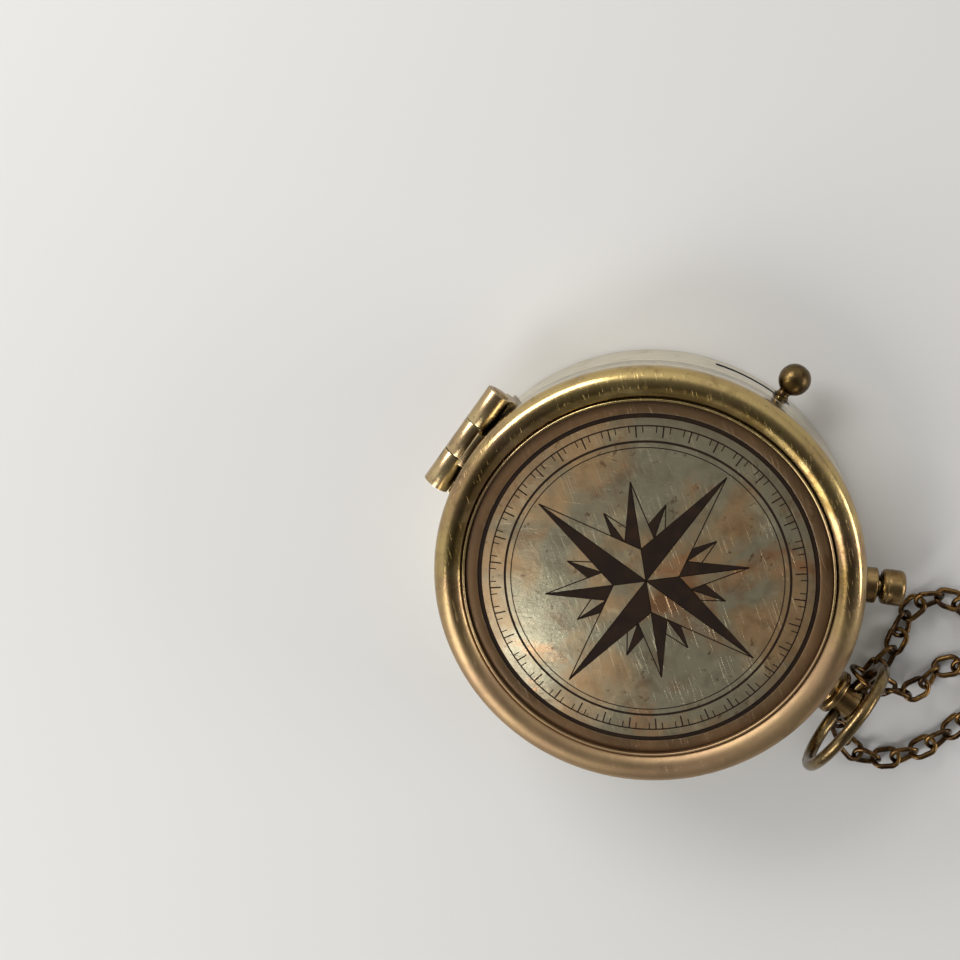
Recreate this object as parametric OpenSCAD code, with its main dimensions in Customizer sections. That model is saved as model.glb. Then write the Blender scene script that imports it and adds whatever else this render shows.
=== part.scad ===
// Pocket compass with a hinged lid, a needle lock, a push-button catch, a bow and a chain.
// It lies on its back. The origin is the middle of the flat back, +Z points out of the lid,
// the lid's hinge is at +Y and the pendant with the bow is at -Y. Lengths are in millimetres.

/* [Case] */
// Outer diameter of the case and the lid
case_d = 64; // [60:0.5:72]
// Height of the case, from its back to the parting line
case_h = 11.3; // [11:0.1:13]
// Thickness of the case wall round the glass
case_wall = 5.4; // [5.2:0.1:6]
// Width of the step that carries the dial
dial_step = 2; // [1.5:0.1:2.6]
// Radius of the rounded edge of the back
back_edge_r = 0.9; // [0.4:0.1:1.2]
// Thickness of the back cover
back_t = 1.5; // [1.2:0.1:1.8]
// Width of the case's rim round the back cover
back_rim = 2.4; // [1.8:0.1:3]

/* [Lid] */
// Height of the lid above the parting line
lid_h = 8.2; // [7.6:0.1:9.5]
// Thickness of the lid's side wall
lid_wall = 1.8; // [1.4:0.1:2.2]
// Width of the lid's rounded rim
rim_w = 4.9; // [4.4:0.1:5.6]
// Depth of the plate's face below the top of the rim
plate_drop = 1.3; // [1:0.1:1.8]
// Thickness of the lid's plate
plate_t = 1.2; // [0.9:0.1:1.5]
// Radius of the groove cut into the plate
groove_r = 24.9; // [23:0.1:25.4]
// Width of that groove
groove_w = 0.65; // [0.4:0.05:0.9]
// Depth of that groove
groove_deep = 0.35; // [0.2:0.05:0.5]
// Gap between the closed lid and the case
part_gap = 0.1; // [0.06:0.02:0.3]

/* [Hinge] */
// Outer diameter of the knuckles
knuckle_d = 4.2; // [3.8:0.1:4.6]
// Length of one knuckle
knuckle_len = 5.7; // [5:0.1:6.4]
// Gap between two knuckles
knuckle_gap = 0.1; // [0.06:0.02:0.2]
// Diameter of the hinge pin
hinge_pin_d = 2; // [1.6:0.1:2.2]
// Distance of the hinge's axis outside the case wall
hinge_out = 1.7; // [1.6:0.05:2]
// Height of the hinge's axis above the parting line
hinge_up = 0.2; // [0:0.05:0.3]
// Thickness of the hinge's leaves
leaf_t = 0.9; // [0.7:0.05:1.1]

/* [Dial and glass] */
// Thickness of the dial plate
dial_t = 0.8; // [0.6:0.1:0.9]
// Height of the ring between the dial and the glass
dial_ring_h = 2; // [2:0.1:2.4]
// Width of that ring
dial_ring_w = 1.5; // [1.2:0.1:2]
// Thickness of the glass
glass_t = 1.1; // [0.9:0.1:1.2]
// Height of the ring that holds the glass down
bezel_h = 0.75; // [0.6:0.05:0.8]

/* [Needle and its lock] */
// Length of the needle
needle_len = 43; // [36:1:46]
// Width of the needle beside its hub
needle_w = 4.6; // [3.6:0.2:6]
// Thickness of the needle
needle_t = 0.3; // [0.2:0.05:0.4]
// How far the lock lifts the needle
lift = 0.35; // [0.25:0.05:0.4]
// How far the lock's lever turns, in degrees
lever_turn = 16.5; // [14:0.5:16.5]
// Diameter of the lever's ball
ball_d = 4.9; // [4.2:0.1:5.4]

/* [Push button] */
// Diameter of the button's head and collar
button_d = 5.5; // [5.1:0.1:6]
// Length of the button's head
button_len = 3.6; // [3:0.1:4.2]
// How far the button travels
button_travel = 0.55; // [0.5:0.05:0.6]

/* [Pendant and bow] */
// Diameter of the pendant's collar
collar_d = 7.2; // [6.6:0.1:7.8]
// Diameter of the pendant's barrel
barrel_d = 6.1; // [5.6:0.1:6.6]
// Outer diameter of the bow
bow_d = 20; // [19:0.5:22]
// Thickness of the bow's wire
bow_wire = 2; // [1.8:0.05:2.1]

/* [Chain] */
// Thickness of the wire of a chain link
link_wire = 0.68; // [0.6:0.02:0.68]
// Outer length of a chain link
link_len = 4.76; // [4.7:0.02:4.9]
// Outer width of a chain link
link_w = 3.46; // [3.4:0.02:3.6]
// Distance from one link to the next along the chain
link_pitch = 3; // [2.94:0.02:3.04]
// Length of the bar at the chain's end
bar_len = 22; // [18:1:26]
// Thickness of that bar
bar_d = 2.2; // [1.8:0.1:2.6]

/* [Hidden] */
$fn = 64;
fine = 180;         // facets of the large circles
cut = 1;            // overrun of every cut

// Clearances
seat_clear = 0.05;  // round a piece that is seated in a bore
run_clear = 0.05;   // round a shaft that turns or slides
side_clear = 0.15;  // beside a moving piece

// Case
case_r = case_d / 2;
bore_r = case_r - case_wall;
ledge_r = bore_r - dial_step;
cover_r = case_r - back_rim;
seat_r = bore_r - seat_clear;

// The lock's lever runs at the middle of the case's height
lever_t = 0.8;
lever_z = 5.35;              // middle of the lever
lever_top = lever_z + lever_t / 2;
lever_w = 1.8;
lever_ring_r = 4.6;
lever_rest_a = -1.5;         // where the lever stands at rest, in degrees from +X
slot_h = lever_t + 4 * side_clear;
slot_ease_a = 1;             // spare angle at each end of the slot
stud_r = 0.55;               // threaded end of the lever, in the ball
slot_half_a = atan(lever_w / 2 / ledge_r) + slot_ease_a;
slot_from = lever_rest_a - slot_half_a;
slot_to = lever_rest_a + lever_turn + slot_half_a;

// Dial, glass and bezel, from the bottom up
arm_t = 0.4;                 // thickness of the lifter's arms
dial_z = lever_top + run_clear + arm_t + lift + 2 * run_clear;
dial_top = dial_z + dial_t;
glass_z = dial_top + dial_ring_h;
bezel_z = glass_z + glass_t;
sight_in = 0.2;              // from the ring round the dial to the bezel's inner edge
sight_r = bore_r - dial_ring_w - sight_in;
bezel_round = 0.3;

// Pivot and needle
post_r = 1.3;
post_foot_r = 3.6;
post_foot_h = 1;
post_shoulder_r = 2.1;
post_shoulder_z = lever_z - lever_t / 2 - run_clear;
post_low = 0.4;              // the post ends below the dial's face
post_top = dial_top - post_low;
point_r = 0.45;
point_sink = 1.2;            // depth of the steel point in the post
sleeve_wall = 0.55;
sleeve_r = post_r + run_clear + sleeve_wall;
sleeve_up = 0.35;            // the sleeve ends above the dial's face
sleeve_top = dial_top + sleeve_up;
cap_z = sleeve_top + run_clear;
cap_flange_h = 0.25;
cap_flange_r = 2.2;
cap_r = 1.5;
cap_h = 1.1;
cap_bore_r = 0.95;
cap_bore_h = 0.82;
jewel_t = 0.15;
point_top = cap_z + cap_bore_h - jewel_t - run_clear;
point_tip_r = 0.06;
needle_z = cap_z + cap_flange_h;
needle_hub_r = 2.9;
key_w = 0.6;                 // key that keeps the lifter from turning
key_out = 0.35;
arm_count = 3;
arm_w = 0.8;
arm_out = 4.3;
ramp_in = 2.7;               // the ramps on the lever's ring
ramp_r = 3.6;                // middle radius of the ramps
ramp_w = 1.4;
ramp_flat = 0.6;

// Hinge
hinge_y = case_r + hinge_out;
hinge_z = case_h + hinge_up;
knuckle_r = knuckle_d / 2;
hinge_pin_r = hinge_pin_d / 2;
hinge_step = knuckle_len + knuckle_gap;
hinge_half = knuckle_len / 2 + hinge_step;
trough_clear = 0.12;
leaf_low = 5;                // lower edge of the case's leaf
tab_h = 5;                   // height of the lid's tab above the hinge's axis
pin_head_r = 1.45;
pin_head_t = 0.3;

// Lid
lid_z = case_h + part_gap;
lid_top = case_h + lid_h;
rim_r = rim_w / 2;
rim_mid_r = case_r - rim_r;
rim_mid_z = lid_top - rim_r;
plate_r = case_r - rim_w;
plate_z = lid_top - plate_drop - plate_t;
lid_in_r = case_r - lid_wall;
rim_floor = 0.8;             // thickness of the step that carries the plate
rim_step = 1.5;              // width of that step
lip_w = 0.4;                 // fine upright lip round the plate
lip_h = 0.55;
lid_edge = 0.25;             // bevel of the lid's and the case's meeting edges

// Push button and catch, at 300 degrees
button_a = 300;
button_z = 5.8;
stem_r = 1;
button_gap = button_travel + run_clear;
bush_out = 2.8;
bush_in = 1;
bush_in_r = 1.9;
bush_bore_r = 1.9;
bush_bore_deep = 2;
head_r = button_d / 2;
head_round = 0.7;
head_bore_deep = 2.6;
head_recess_r = 1.9;
head_recess = button_travel + side_clear;
spring_wire = 0.35;
spring_r = 1.6;
spring_turns = 4;
spring_sides = 6;
spring_steps = 14;
pocket_w = 5.6;
pocket_low = 3.2;
pocket_out = 1;              // wall left outside the pocket
pocket_in = 0.9;             // wall left inside the pocket
catch_t = 1;
catch_w = 4.4;
catch_low = 3.7;
catch_up = 2;                // height of the catch above the parting line
nose_out = 0.55;
nose_h = 0.55;
nose_w = 3;
striker_w = 4;
striker_h = 3;
shelf_h = 0.6;
shelf_gap = 0.1;
hold = 0.4;                  // overlap of the nose and the striker's shelf

// Pendant and bow
pendant_z = 5.8;
pendant_stem_r = 1.5;
pendant_sink = 3.4;
flange_r = 3.2;
flange_h = 0.8;
sleeve_neck_r = 2.5;
collar_in = 3.2;             // collar's inner face, from the case wall
collar_h = 1.2;
collar_round = 0.4;
neck_r = 2.5;                // neck that the bow passes through
neck_h = 2.9;
barrel_h = 2.3;
barrel_round = 0.6;
bow_in = 1.6;                // the bow's axis, from the collar's outer face
bow_lean = 7;                // how far the bow leans towards the case, in degrees
bow_r = bow_d / 2 - bow_wire / 2;
barrel_r = barrel_d / 2;
bow_sag = bow_r - sqrt(bow_r * bow_r - neck_r * neck_r);
bow_hole_r = bow_wire / 2 + bow_sag / 2 + run_clear;
bow_y = -(case_r + collar_in + collar_h + bow_in);
bow_reach = bow_r - bow_sag / 2;  // from the hole's axis to the middle of the bow

// Jump ring, round the bow's foot beside the pendant
jump_out = 2.2;              // from the side of the neck
jump_wire = 0.72;
jump_r = 3;
jump_a = -90;                // direction in which the chain leaves it
jump_front = 0.45;           // in front of the bow's axis
jump_up = 0.2;               // above it
jump_x = neck_r + jump_out;
jump_y = bow_y - jump_front;
jump_z = pendant_z + jump_up;

// Chain: the first link hangs on the ring at a slope, the next ones come down to the table
pull_a = 34;                 // slope of the first link
link_r = (link_w - link_wire) / 2;
link_half = (link_len - link_wire) / 2;
hang_clear = 0.05;
link_reach = jump_r - (jump_wire + link_wire) / 2 - hang_clear + link_half;
first_gap = 2.4;             // from the first link to the second, in plan
roll_full = 36;
settle_links = 4;            // links over which the chain comes down to the table
table_clear = 0.06;
lie_z = link_r * sin(roll_full) + link_wire / 2 + table_clear;
start_z = jump_z - link_reach * sin(pull_a);
// The chain's route on the table: each stretch is its length, as a share of the distance
// between two links, and the angle that it turns
route_shares = [[0.17, 0], [2.5, 94], [4.73, -186], [3.33, -20], [2.33, -26], [4.47, -130],
                [2.67, -4], [2.33, 24], [0.33, 0], [4.33, -134], [2.67, 10], [2.33, 60],
                [2.67, 0], [4.8, -138], [4.67, 0], [4.8, 180], [7.33, 0], [4.8, -180], [6.67, 0]];
route_x = jump_x + link_reach * cos(pull_a) * cos(jump_a);
route_y = jump_y + link_reach * cos(pull_a) * sin(jump_a);
lead_links = 11;             // links of the lead, which comes down from the bow
loop_links = 22;             // the lead and the loop that lies round the pendant
all_links = 71;

function len_of(k) = route_shares[k][0] * link_pitch;
function turn_of(k) = route_shares[k][1];
function stretch(p, k, s) =
    let(turn = turn_of(k) * s / len_of(k), a = p[2])
    turn_of(k) == 0
        ? [p[0] + s * cos(a), p[1] + s * sin(a), a]
        : let(r = len_of(k) / (turn_of(k) * PI / 180))
          [p[0] + r * (sin(a + turn) - sin(a)), p[1] + r * (cos(a) - cos(a + turn)), a + turn];
function walk(s, k = 0, p = [route_x, route_y, jump_a]) =
    k >= len(route_shares) ? [p[0] + s * cos(p[2]), p[1] + s * sin(p[2]), p[2]]
    : s <= len_of(k) ? stretch(p, k, s)
    : walk(s - len_of(k), k + 1, stretch(p, k, len_of(k)));
function settled(i) = min(1, i / settle_links);
function link_s(i) = i == 0 ? 0 : first_gap + (i - 1) * link_pitch;
function link_z(i) = lie_z + (start_z - lie_z) * pow(1 - settled(i), 1.5);
function roll(i) = i % 2 == 0 ? -roll_full * settled(i) : 90 - (90 - roll_full) * settled(i);
function tilt(i) = i == 0 ? pull_a : atan((link_z(max(1, i - 1)) - link_z(i + 1))
                                          / (i == 1 ? link_pitch : 2 * link_pitch));

module ring(r_out, r_in, h, z) {
    translate([0, 0, z]) difference() {
        cylinder(r = r_out, h = h, $fn = fine);
        translate([0, 0, -cut]) cylinder(r = r_in, h = h + 2 * cut, $fn = fine);
    }
}
// A turned piece on a radial axis: children are a profile whose x is the radius and whose y
// is the distance from the case's axis
module radial(a, z) {
    rotate([0, 0, a]) translate([0, 0, z]) rotate([0, 90, 0]) rotate_extrude() children();
}
// A cylinder on a radial axis, from one distance to another
module radial_rod(a, z, r, from, to) {
    rotate([0, 0, a]) translate([from, 0, z]) rotate([0, 90, 0]) cylinder(r = r, h = to - from);
}
// A rectangle with its two outer corners rounded
module rounded_step(r, low, high, round) {
    translate([0, low]) square([r - round, high - low]);
    translate([0, low + round]) square([r, high - low - 2 * round]);
    translate([r - round, low + round]) circle(r = round);
    translate([r - round, high - round]) circle(r = round);
}

module case_body() {
    color("darkgoldenrod") difference() {
        rotate_extrude($fn = fine) difference() {
            translate([ledge_r, 0]) square([case_r - ledge_r, case_h]);
            translate([ledge_r - cut, -cut]) square([cover_r - ledge_r + cut, back_t + cut]);
            translate([ledge_r - cut, dial_z])
                square([bore_r - ledge_r + cut, case_h - dial_z + cut]);
            translate([case_r - back_edge_r, back_edge_r]) difference() {
                translate([0, -back_edge_r - cut]) square([back_edge_r + cut, back_edge_r + cut]);
                circle(r = back_edge_r);
            }
            translate([case_r, case_h]) rotate(45) square(lid_edge * sqrt(2), center = true);
        }
        // Slot for the lever
        rotate([0, 0, slot_from]) rotate_extrude(angle = slot_to - slot_from, $fn = fine)
            translate([ledge_r - cut, lever_z - slot_h / 2])
                square([case_r - ledge_r + 2 * cut, slot_h]);
        // Pocket for the catch, and the bush's hole
        rotate([0, 0, button_a]) translate([bore_r + pocket_in, -pocket_w / 2, pocket_low])
            cube([case_wall - pocket_in - pocket_out, pocket_w, case_h]);
        radial_rod(button_a, button_z, bush_in_r, case_r - pocket_out - cut, case_r + cut);
        // Hole for the pendant's stem
        radial_rod(-90, pendant_z, pendant_stem_r, case_r - pendant_sink, case_r + cut);
        hinge_trough();
    }
}
module hinge_trough() {
    translate([-hinge_half - trough_clear, hinge_y, hinge_z]) rotate([0, 90, 0])
        cylinder(r = knuckle_r + trough_clear, h = 2 * (hinge_half + trough_clear));
}
module back_cover() {
    color("peru") cylinder(r = cover_r - seat_clear, h = back_t, $fn = fine);
}

module pivot_post() {
    color("goldenrod") difference() {
        union() {
            translate([0, 0, back_t]) cylinder(r = post_foot_r, h = post_foot_h);
            translate([0, 0, back_t]) cylinder(r = post_shoulder_r, h = post_shoulder_z - back_t);
            translate([0, 0, back_t]) cylinder(r = post_r, h = post_top - back_t);
        }
        translate([0, 0, post_top - point_sink]) cylinder(r = point_r, h = point_sink + cut);
    }
}
module pivot_point() {
    point_cone = 0.9;
    color("silver") union() {
        translate([0, 0, post_top - point_sink])
            cylinder(r = point_r, h = point_top - point_cone - post_top + point_sink);
        translate([0, 0, point_top - point_cone])
            cylinder(r1 = point_r, r2 = point_tip_r, h = point_cone);
    }
}
module lifter_sleeve() {
    low = lever_top + run_clear;
    arm_in = post_r + run_clear + sleeve_wall / 2;
    color("gold") difference() {
        union() {
            translate([0, 0, low]) cylinder(r = sleeve_r, h = sleeve_top - low);
            for (k = [0 : arm_count - 1])
                rotate([0, 0, k * 360 / arm_count]) translate([arm_in, -arm_w / 2, low])
                    cube([arm_out - arm_in, arm_w, arm_t]);
            translate([arm_in, -key_w / 2, low])
                cube([sleeve_r + key_out - arm_in, key_w, sleeve_top - low]);
        }
        translate([0, 0, low - cut])
            cylinder(r = post_r + run_clear, h = sleeve_top - low + 2 * cut);
    }
}
module lock_lever() {
    rise = 2 * PI * ramp_r * lever_turn / 360;  // length of a ramp round the ring
    color("goldenrod") difference() {
        union() {
            translate([0, 0, lever_z - lever_t / 2]) cylinder(r = lever_ring_r, h = lever_t);
            rotate([0, 0, lever_rest_a])
                translate([lever_ring_r / 2, -lever_w / 2, lever_z - lever_t / 2])
                    cube([case_r - stud_r - lever_ring_r / 2, lever_w, lever_t]);
            radial_rod(lever_rest_a, lever_z, stud_r, case_r - 2 * stud_r, case_r + ball_d / 2);
            // Ramps that lift the sleeve's arms as the lever turns
            for (k = [0 : arm_count - 1])
                rotate([0, 0, k * 360 / arm_count])
                    translate([ramp_in + ramp_w, -arm_w / 2 - rise - side_clear, lever_top])
                        rotate([0, -90, 0]) linear_extrude(height = ramp_w)
                            polygon([[-lever_t / 2, -ramp_flat], [lift, -ramp_flat], [lift, 0],
                                     [0, rise], [-lever_t / 2, rise]]);
        }
        translate([0, 0, lever_z - lever_t])
            cylinder(r = post_r + run_clear, h = 2 * lever_t);
    }
}
module lock_knob() {
    ball_r = ball_d / 2;
    neck_len = 1;
    knob_neck_r = 0.95;
    ball_sink = 0.2;
    stud_clear = 0.02;
    ball_mid = case_r + side_clear + neck_len + ball_r - ball_sink;
    stud_deep = case_r + ball_d / 2 + side_clear;
    color("saddlebrown") rotate([0, 0, lever_rest_a]) translate([0, 0, lever_z])
        rotate([0, 90, 0]) difference() {
            union() {
                translate([0, 0, ball_mid]) sphere(r = ball_r);
                translate([0, 0, case_r + side_clear])
                    cylinder(r = knob_neck_r, h = neck_len + ball_r / 2);
            }
            translate([0, 0, case_r - cut])
                cylinder(r = stud_r + stud_clear, h = stud_deep - case_r + cut);
        }
}

module dial_plate() {
    color("ivory") difference() {
        translate([0, 0, dial_z]) cylinder(r = seat_r, h = dial_t, $fn = fine);
        translate([0, 0, dial_z - cut])
            cylinder(r = sleeve_r + 2 * run_clear, h = dial_t + 2 * cut);
        translate([0, -key_w / 2 - run_clear, dial_z - cut])
            cube([sleeve_r + key_out + side_clear, key_w + 2 * run_clear, dial_t + 2 * cut]);
    }
}
module dial_ring() {
    color("goldenrod") ring(seat_r, bore_r - dial_ring_w, dial_ring_h, dial_top);
}
module glass() {
    color("lightblue", 0.4) translate([0, 0, glass_z]) cylinder(r = seat_r, h = glass_t, $fn = fine);
}
module glass_bezel() {
    color("goldenrod") translate([0, 0, bezel_z]) rotate_extrude($fn = fine) difference() {
        translate([sight_r, 0]) square([seat_r - sight_r, bezel_h]);
        translate([sight_r, bezel_h]) rotate(45) square(bezel_round * 2, center = true);
    }
}

module needle() {
    half = needle_len / 2;
    color("steelblue") translate([0, 0, needle_z]) difference() {
        union() {
            linear_extrude(height = needle_t)
                polygon([[0, half], [needle_w / 2, 0], [0, -half], [-needle_w / 2, 0]]);
            cylinder(r = needle_hub_r, h = needle_t);
        }
        translate([0, 0, -cut]) cylinder(r = cap_r, h = needle_t + 2 * cut);
    }
}
module needle_cap() {
    color("goldenrod") translate([0, 0, cap_z]) difference() {
        union() {
            cylinder(r = cap_flange_r, h = cap_flange_h);
            cylinder(r = cap_r, h = cap_h);
        }
        translate([0, 0, -cut]) cylinder(r = cap_bore_r, h = cap_bore_h + cut);
    }
}
module needle_jewel() {
    color("firebrick") translate([0, 0, cap_z + cap_bore_h - jewel_t])
        cylinder(r = cap_bore_r, h = jewel_t);
}

module knuckle(x) {
    translate([x - knuckle_len / 2, hinge_y, hinge_z]) rotate([0, 90, 0])
        cylinder(r = knuckle_r, h = knuckle_len);
}
module knuckle_bore() {
    translate([-hinge_half - cut, hinge_y, hinge_z]) rotate([0, 90, 0])
        cylinder(r = hinge_pin_r + run_clear, h = 2 * (hinge_half + cut));
}
module case_hinge_leaf() {
    leaf_top = hinge_z - knuckle_r - side_clear;
    ear_in = knuckle_len / 2 + knuckle_gap;
    leaf_a = asin((hinge_half - side_clear) / (case_r + leaf_t));
    color("darkgoldenrod") difference() {
        union() {
            rotate([0, 0, 90 - leaf_a]) rotate_extrude(angle = 2 * leaf_a, $fn = fine)
                translate([case_r, leaf_low]) square([leaf_t, leaf_top - leaf_low]);
            for (s = [-1, 1]) {
                knuckle(s * hinge_step);
                difference() {
                    translate([s > 0 ? ear_in : -hinge_half, case_r - knuckle_r, leaf_top - leaf_t])
                        cube([knuckle_len, knuckle_r + leaf_t, hinge_z - leaf_top + leaf_t]);
                    cylinder(r = case_r + run_clear, h = 2 * case_h, $fn = fine);
                }
            }
        }
        knuckle_bore();
    }
}
module lid_hinge_leaf() {
    color("darkgoldenrod") difference() {
        union() {
            knuckle(0);
            difference() {
                translate([-knuckle_len / 2, case_r - leaf_t, hinge_z])
                    cube([knuckle_len, 2 * leaf_t, tab_h]);
                cylinder(r = case_r, h = 3 * lid_top, $fn = fine);
            }
        }
        knuckle_bore();
    }
}
module hinge_pin() {
    color("tan") union() {
        translate([-hinge_half, hinge_y, hinge_z]) rotate([0, 90, 0])
            cylinder(r = hinge_pin_r, h = 2 * hinge_half);
        for (s = [-1, 1])
            translate([s * (hinge_half + pin_head_t / 2), hinge_y, hinge_z]) rotate([0, 90, 0])
                cylinder(r = pin_head_r, h = pin_head_t, center = true);
    }
}

module lid_rim() {
    color("gold") difference() {
        rotate_extrude($fn = fine) difference() {
            union() {
                translate([lid_in_r, lid_z]) square([lid_wall, rim_mid_z - lid_z]);
                translate([plate_r, plate_z - rim_floor])
                    square([rim_w, rim_mid_z - plate_z + rim_floor]);
                translate([rim_mid_r, rim_mid_z]) circle(r = rim_r);
                translate([plate_r - rim_step, plate_z - rim_floor])
                    square([rim_step + lip_w, rim_floor]);
                translate([plate_r, plate_z]) square([lip_w, plate_t + lip_h]);
            }
            translate([0, plate_z]) square([plate_r, plate_t + plate_drop + cut]);
            translate([0, lid_z - cut]) square([lid_in_r, plate_z - rim_floor - lid_z + cut]);
            translate([case_r, lid_z]) rotate(45) square(lid_edge * sqrt(2), center = true);
        }
        hinge_trough();
    }
}
module lid_plate() {
    color("rosybrown") difference() {
        translate([0, 0, plate_z]) cylinder(r = plate_r - seat_clear, h = plate_t, $fn = fine);
        ring(groove_r + groove_w / 2, groove_r - groove_w / 2, groove_deep + cut,
             plate_z + plate_t - groove_deep);
    }
}
module lid_striker() {
    low = case_h + catch_up - nose_h - shelf_gap - shelf_h;
    color("darkgoldenrod") rotate([0, 0, button_a]) intersection() {
        union() {
            translate([nose_tip + shelf_gap, -striker_w / 2, low])
                cube([lid_in_r, striker_w, striker_h]);
            translate([nose_tip - hold, -striker_w / 2, low]) cube([lid_in_r, striker_w, shelf_h]);
        }
        cylinder(r = lid_in_r, h = 3 * lid_top, $fn = fine);
    }
}

catch_in = bore_r + pocket_in + button_travel + side_clear;
nose_tip = catch_in + catch_t + nose_out;
module catch_arm() {
    color("tan") rotate([0, 0, button_a]) difference() {
        union() {
            translate([catch_in, -catch_w / 2, catch_low])
                cube([catch_t, catch_w, case_h + catch_up - catch_low]);
            translate([catch_in, -nose_w / 2, case_h + catch_up - nose_h])
                cube([catch_t + nose_out, nose_w, nose_h]);
        }
        translate([0, 0, button_z]) rotate([0, 90, 0]) cylinder(r = stem_r, h = case_r);
    }
}
module button_stem() {
    color("tan") radial_rod(button_a, button_z, stem_r, catch_in,
                            case_r + bush_out + button_gap + head_bore_deep);
}
module button_bush() {
    spring_seat = case_r + bush_out - bush_bore_deep;
    color("darkgoldenrod") radial(button_a, button_z) difference() {
        union() {
            translate([0, case_r - bush_in]) square([bush_in_r, bush_in + cut]);
            rounded_step(head_r, case_r, case_r + bush_out, head_round / 2);
            translate([0, case_r]) square([head_r, head_round]);
        }
        translate([0, case_r - 2 * cut]) square([stem_r + run_clear, bush_out + 3 * cut]);
        translate([0, spring_seat]) square([bush_bore_r, bush_bore_deep + cut]);
    }
}
module button_head() {
    low = case_r + bush_out + button_gap;
    color("peru") radial(button_a, button_z) difference() {
        rounded_step(head_r, low, low + button_len, head_round);
        translate([0, low - cut]) square([stem_r, head_bore_deep + cut]);
        translate([0, low - cut]) square([head_recess_r, head_recess + cut]);
    }
}
module button_spring() {
    low = case_r + bush_out - bush_bore_deep + spring_wire / 2 + run_clear;
    high = case_r + bush_out + button_gap + head_recess - button_travel
           - spring_wire / 2 - run_clear;
    steps = spring_turns * spring_steps;
    wire = spring_wire / 2;
    points = [for (i = [0 : steps]) let(a = 360 * i / spring_steps,
                   x = low + (high - low) * i / steps)
              for (j = [0 : spring_sides - 1]) let(b = 360 * j / spring_sides,
                   r = spring_r + wire * cos(b))
              [x + wire * sin(b), r * cos(a), r * sin(a)]];
    n = spring_sides;
    sides = [for (i = [0 : steps - 1]) for (j = [0 : n - 1])
             let(p = i * n + j, q = i * n + (j + 1) % n)
             for (t = [[p, q, q + n], [p, q + n, p + n]]) t];
    ends = [for (j = [1 : n - 2]) for (t = [[0, j + 1, j],
            [steps * n, steps * n + j, steps * n + j + 1]]) t];
    color("silver") rotate([0, 0, button_a]) translate([0, 0, button_z])
        polyhedron(points = points, faces = concat(sides, ends));
}

module pendant_collar() {
    face = case_r + collar_in;
    color("darkgoldenrod") radial(-90, pendant_z) difference() {
        union() {
            translate([0, case_r]) square([flange_r, flange_h]);
            translate([0, case_r]) square([sleeve_neck_r, collar_in + collar_round]);
            rounded_step(collar_d / 2, face, face + collar_h, collar_round);
        }
        translate([0, case_r - cut]) square([pendant_stem_r, collar_in + collar_h + 2 * cut]);
    }
}
module pendant_post() {
    face = case_r + collar_in + collar_h;
    color("peru") difference() {
        radial(-90, pendant_z) union() {
            translate([0, case_r - pendant_sink])
                square([pendant_stem_r, pendant_sink + collar_in + collar_h]);
            translate([0, face]) square([neck_r, neck_h + barrel_round]);
            rounded_step(barrel_r, face + neck_h, face + neck_h + barrel_h, barrel_round);
        }
        translate([-barrel_d, bow_y, pendant_z]) rotate([0, 90, 0])
            cylinder(r = bow_hole_r, h = 2 * barrel_d);
    }
}
module bow_ring() {
    color("darkgoldenrod") translate([0, bow_y, pendant_z]) rotate([-90 - bow_lean, 0, 0])
        translate([0, -bow_reach, 0]) rotate_extrude($fn = fine)
            translate([bow_r, 0]) circle(r = bow_wire / 2);
}

module jump_ring() {
    color("sienna") translate([jump_x, jump_y, jump_z]) rotate([0, 0, jump_a])
        rotate([90, 0, 0]) rotate_extrude() translate([jump_r, 0]) circle(r = jump_wire / 2);
}
// One link, flat, with its length along X
module link() {
    run = link_half - link_r;
    for (s = [0, 180])
        rotate([0, 0, s]) {
            translate([run, 0, 0]) rotate([0, 0, -90]) rotate_extrude(angle = 180, $fn = 32)
                translate([link_r, 0]) circle(r = link_wire / 2, $fn = 24);
            translate([-run, link_r, 0]) rotate([0, 90, 0])
                cylinder(r = link_wire / 2, h = 2 * run, $fn = 24);
        }
}
module links(from, to) {
    for (i = [from : to])
        let(p = walk(link_s(i)))
            translate([p[0], p[1], link_z(i)]) rotate([roll(i), tilt(i), p[2]]) link();
}
module chain_lead() { color("sienna") links(0, lead_links - 1); }
module chain_loop() { color("sienna") links(lead_links, loop_links - 1); }
module chain_run() { color("sienna") links(loop_links, all_links - 1); }

// The end ring stands on the last link, and the bar hangs on it by an eye
end_r = 1.9;
end_wire = 0.55;
end_hang = 0.2;              // free room between the last link and the end ring
end_z = end_r + end_wire / 2 + table_clear;
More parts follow.
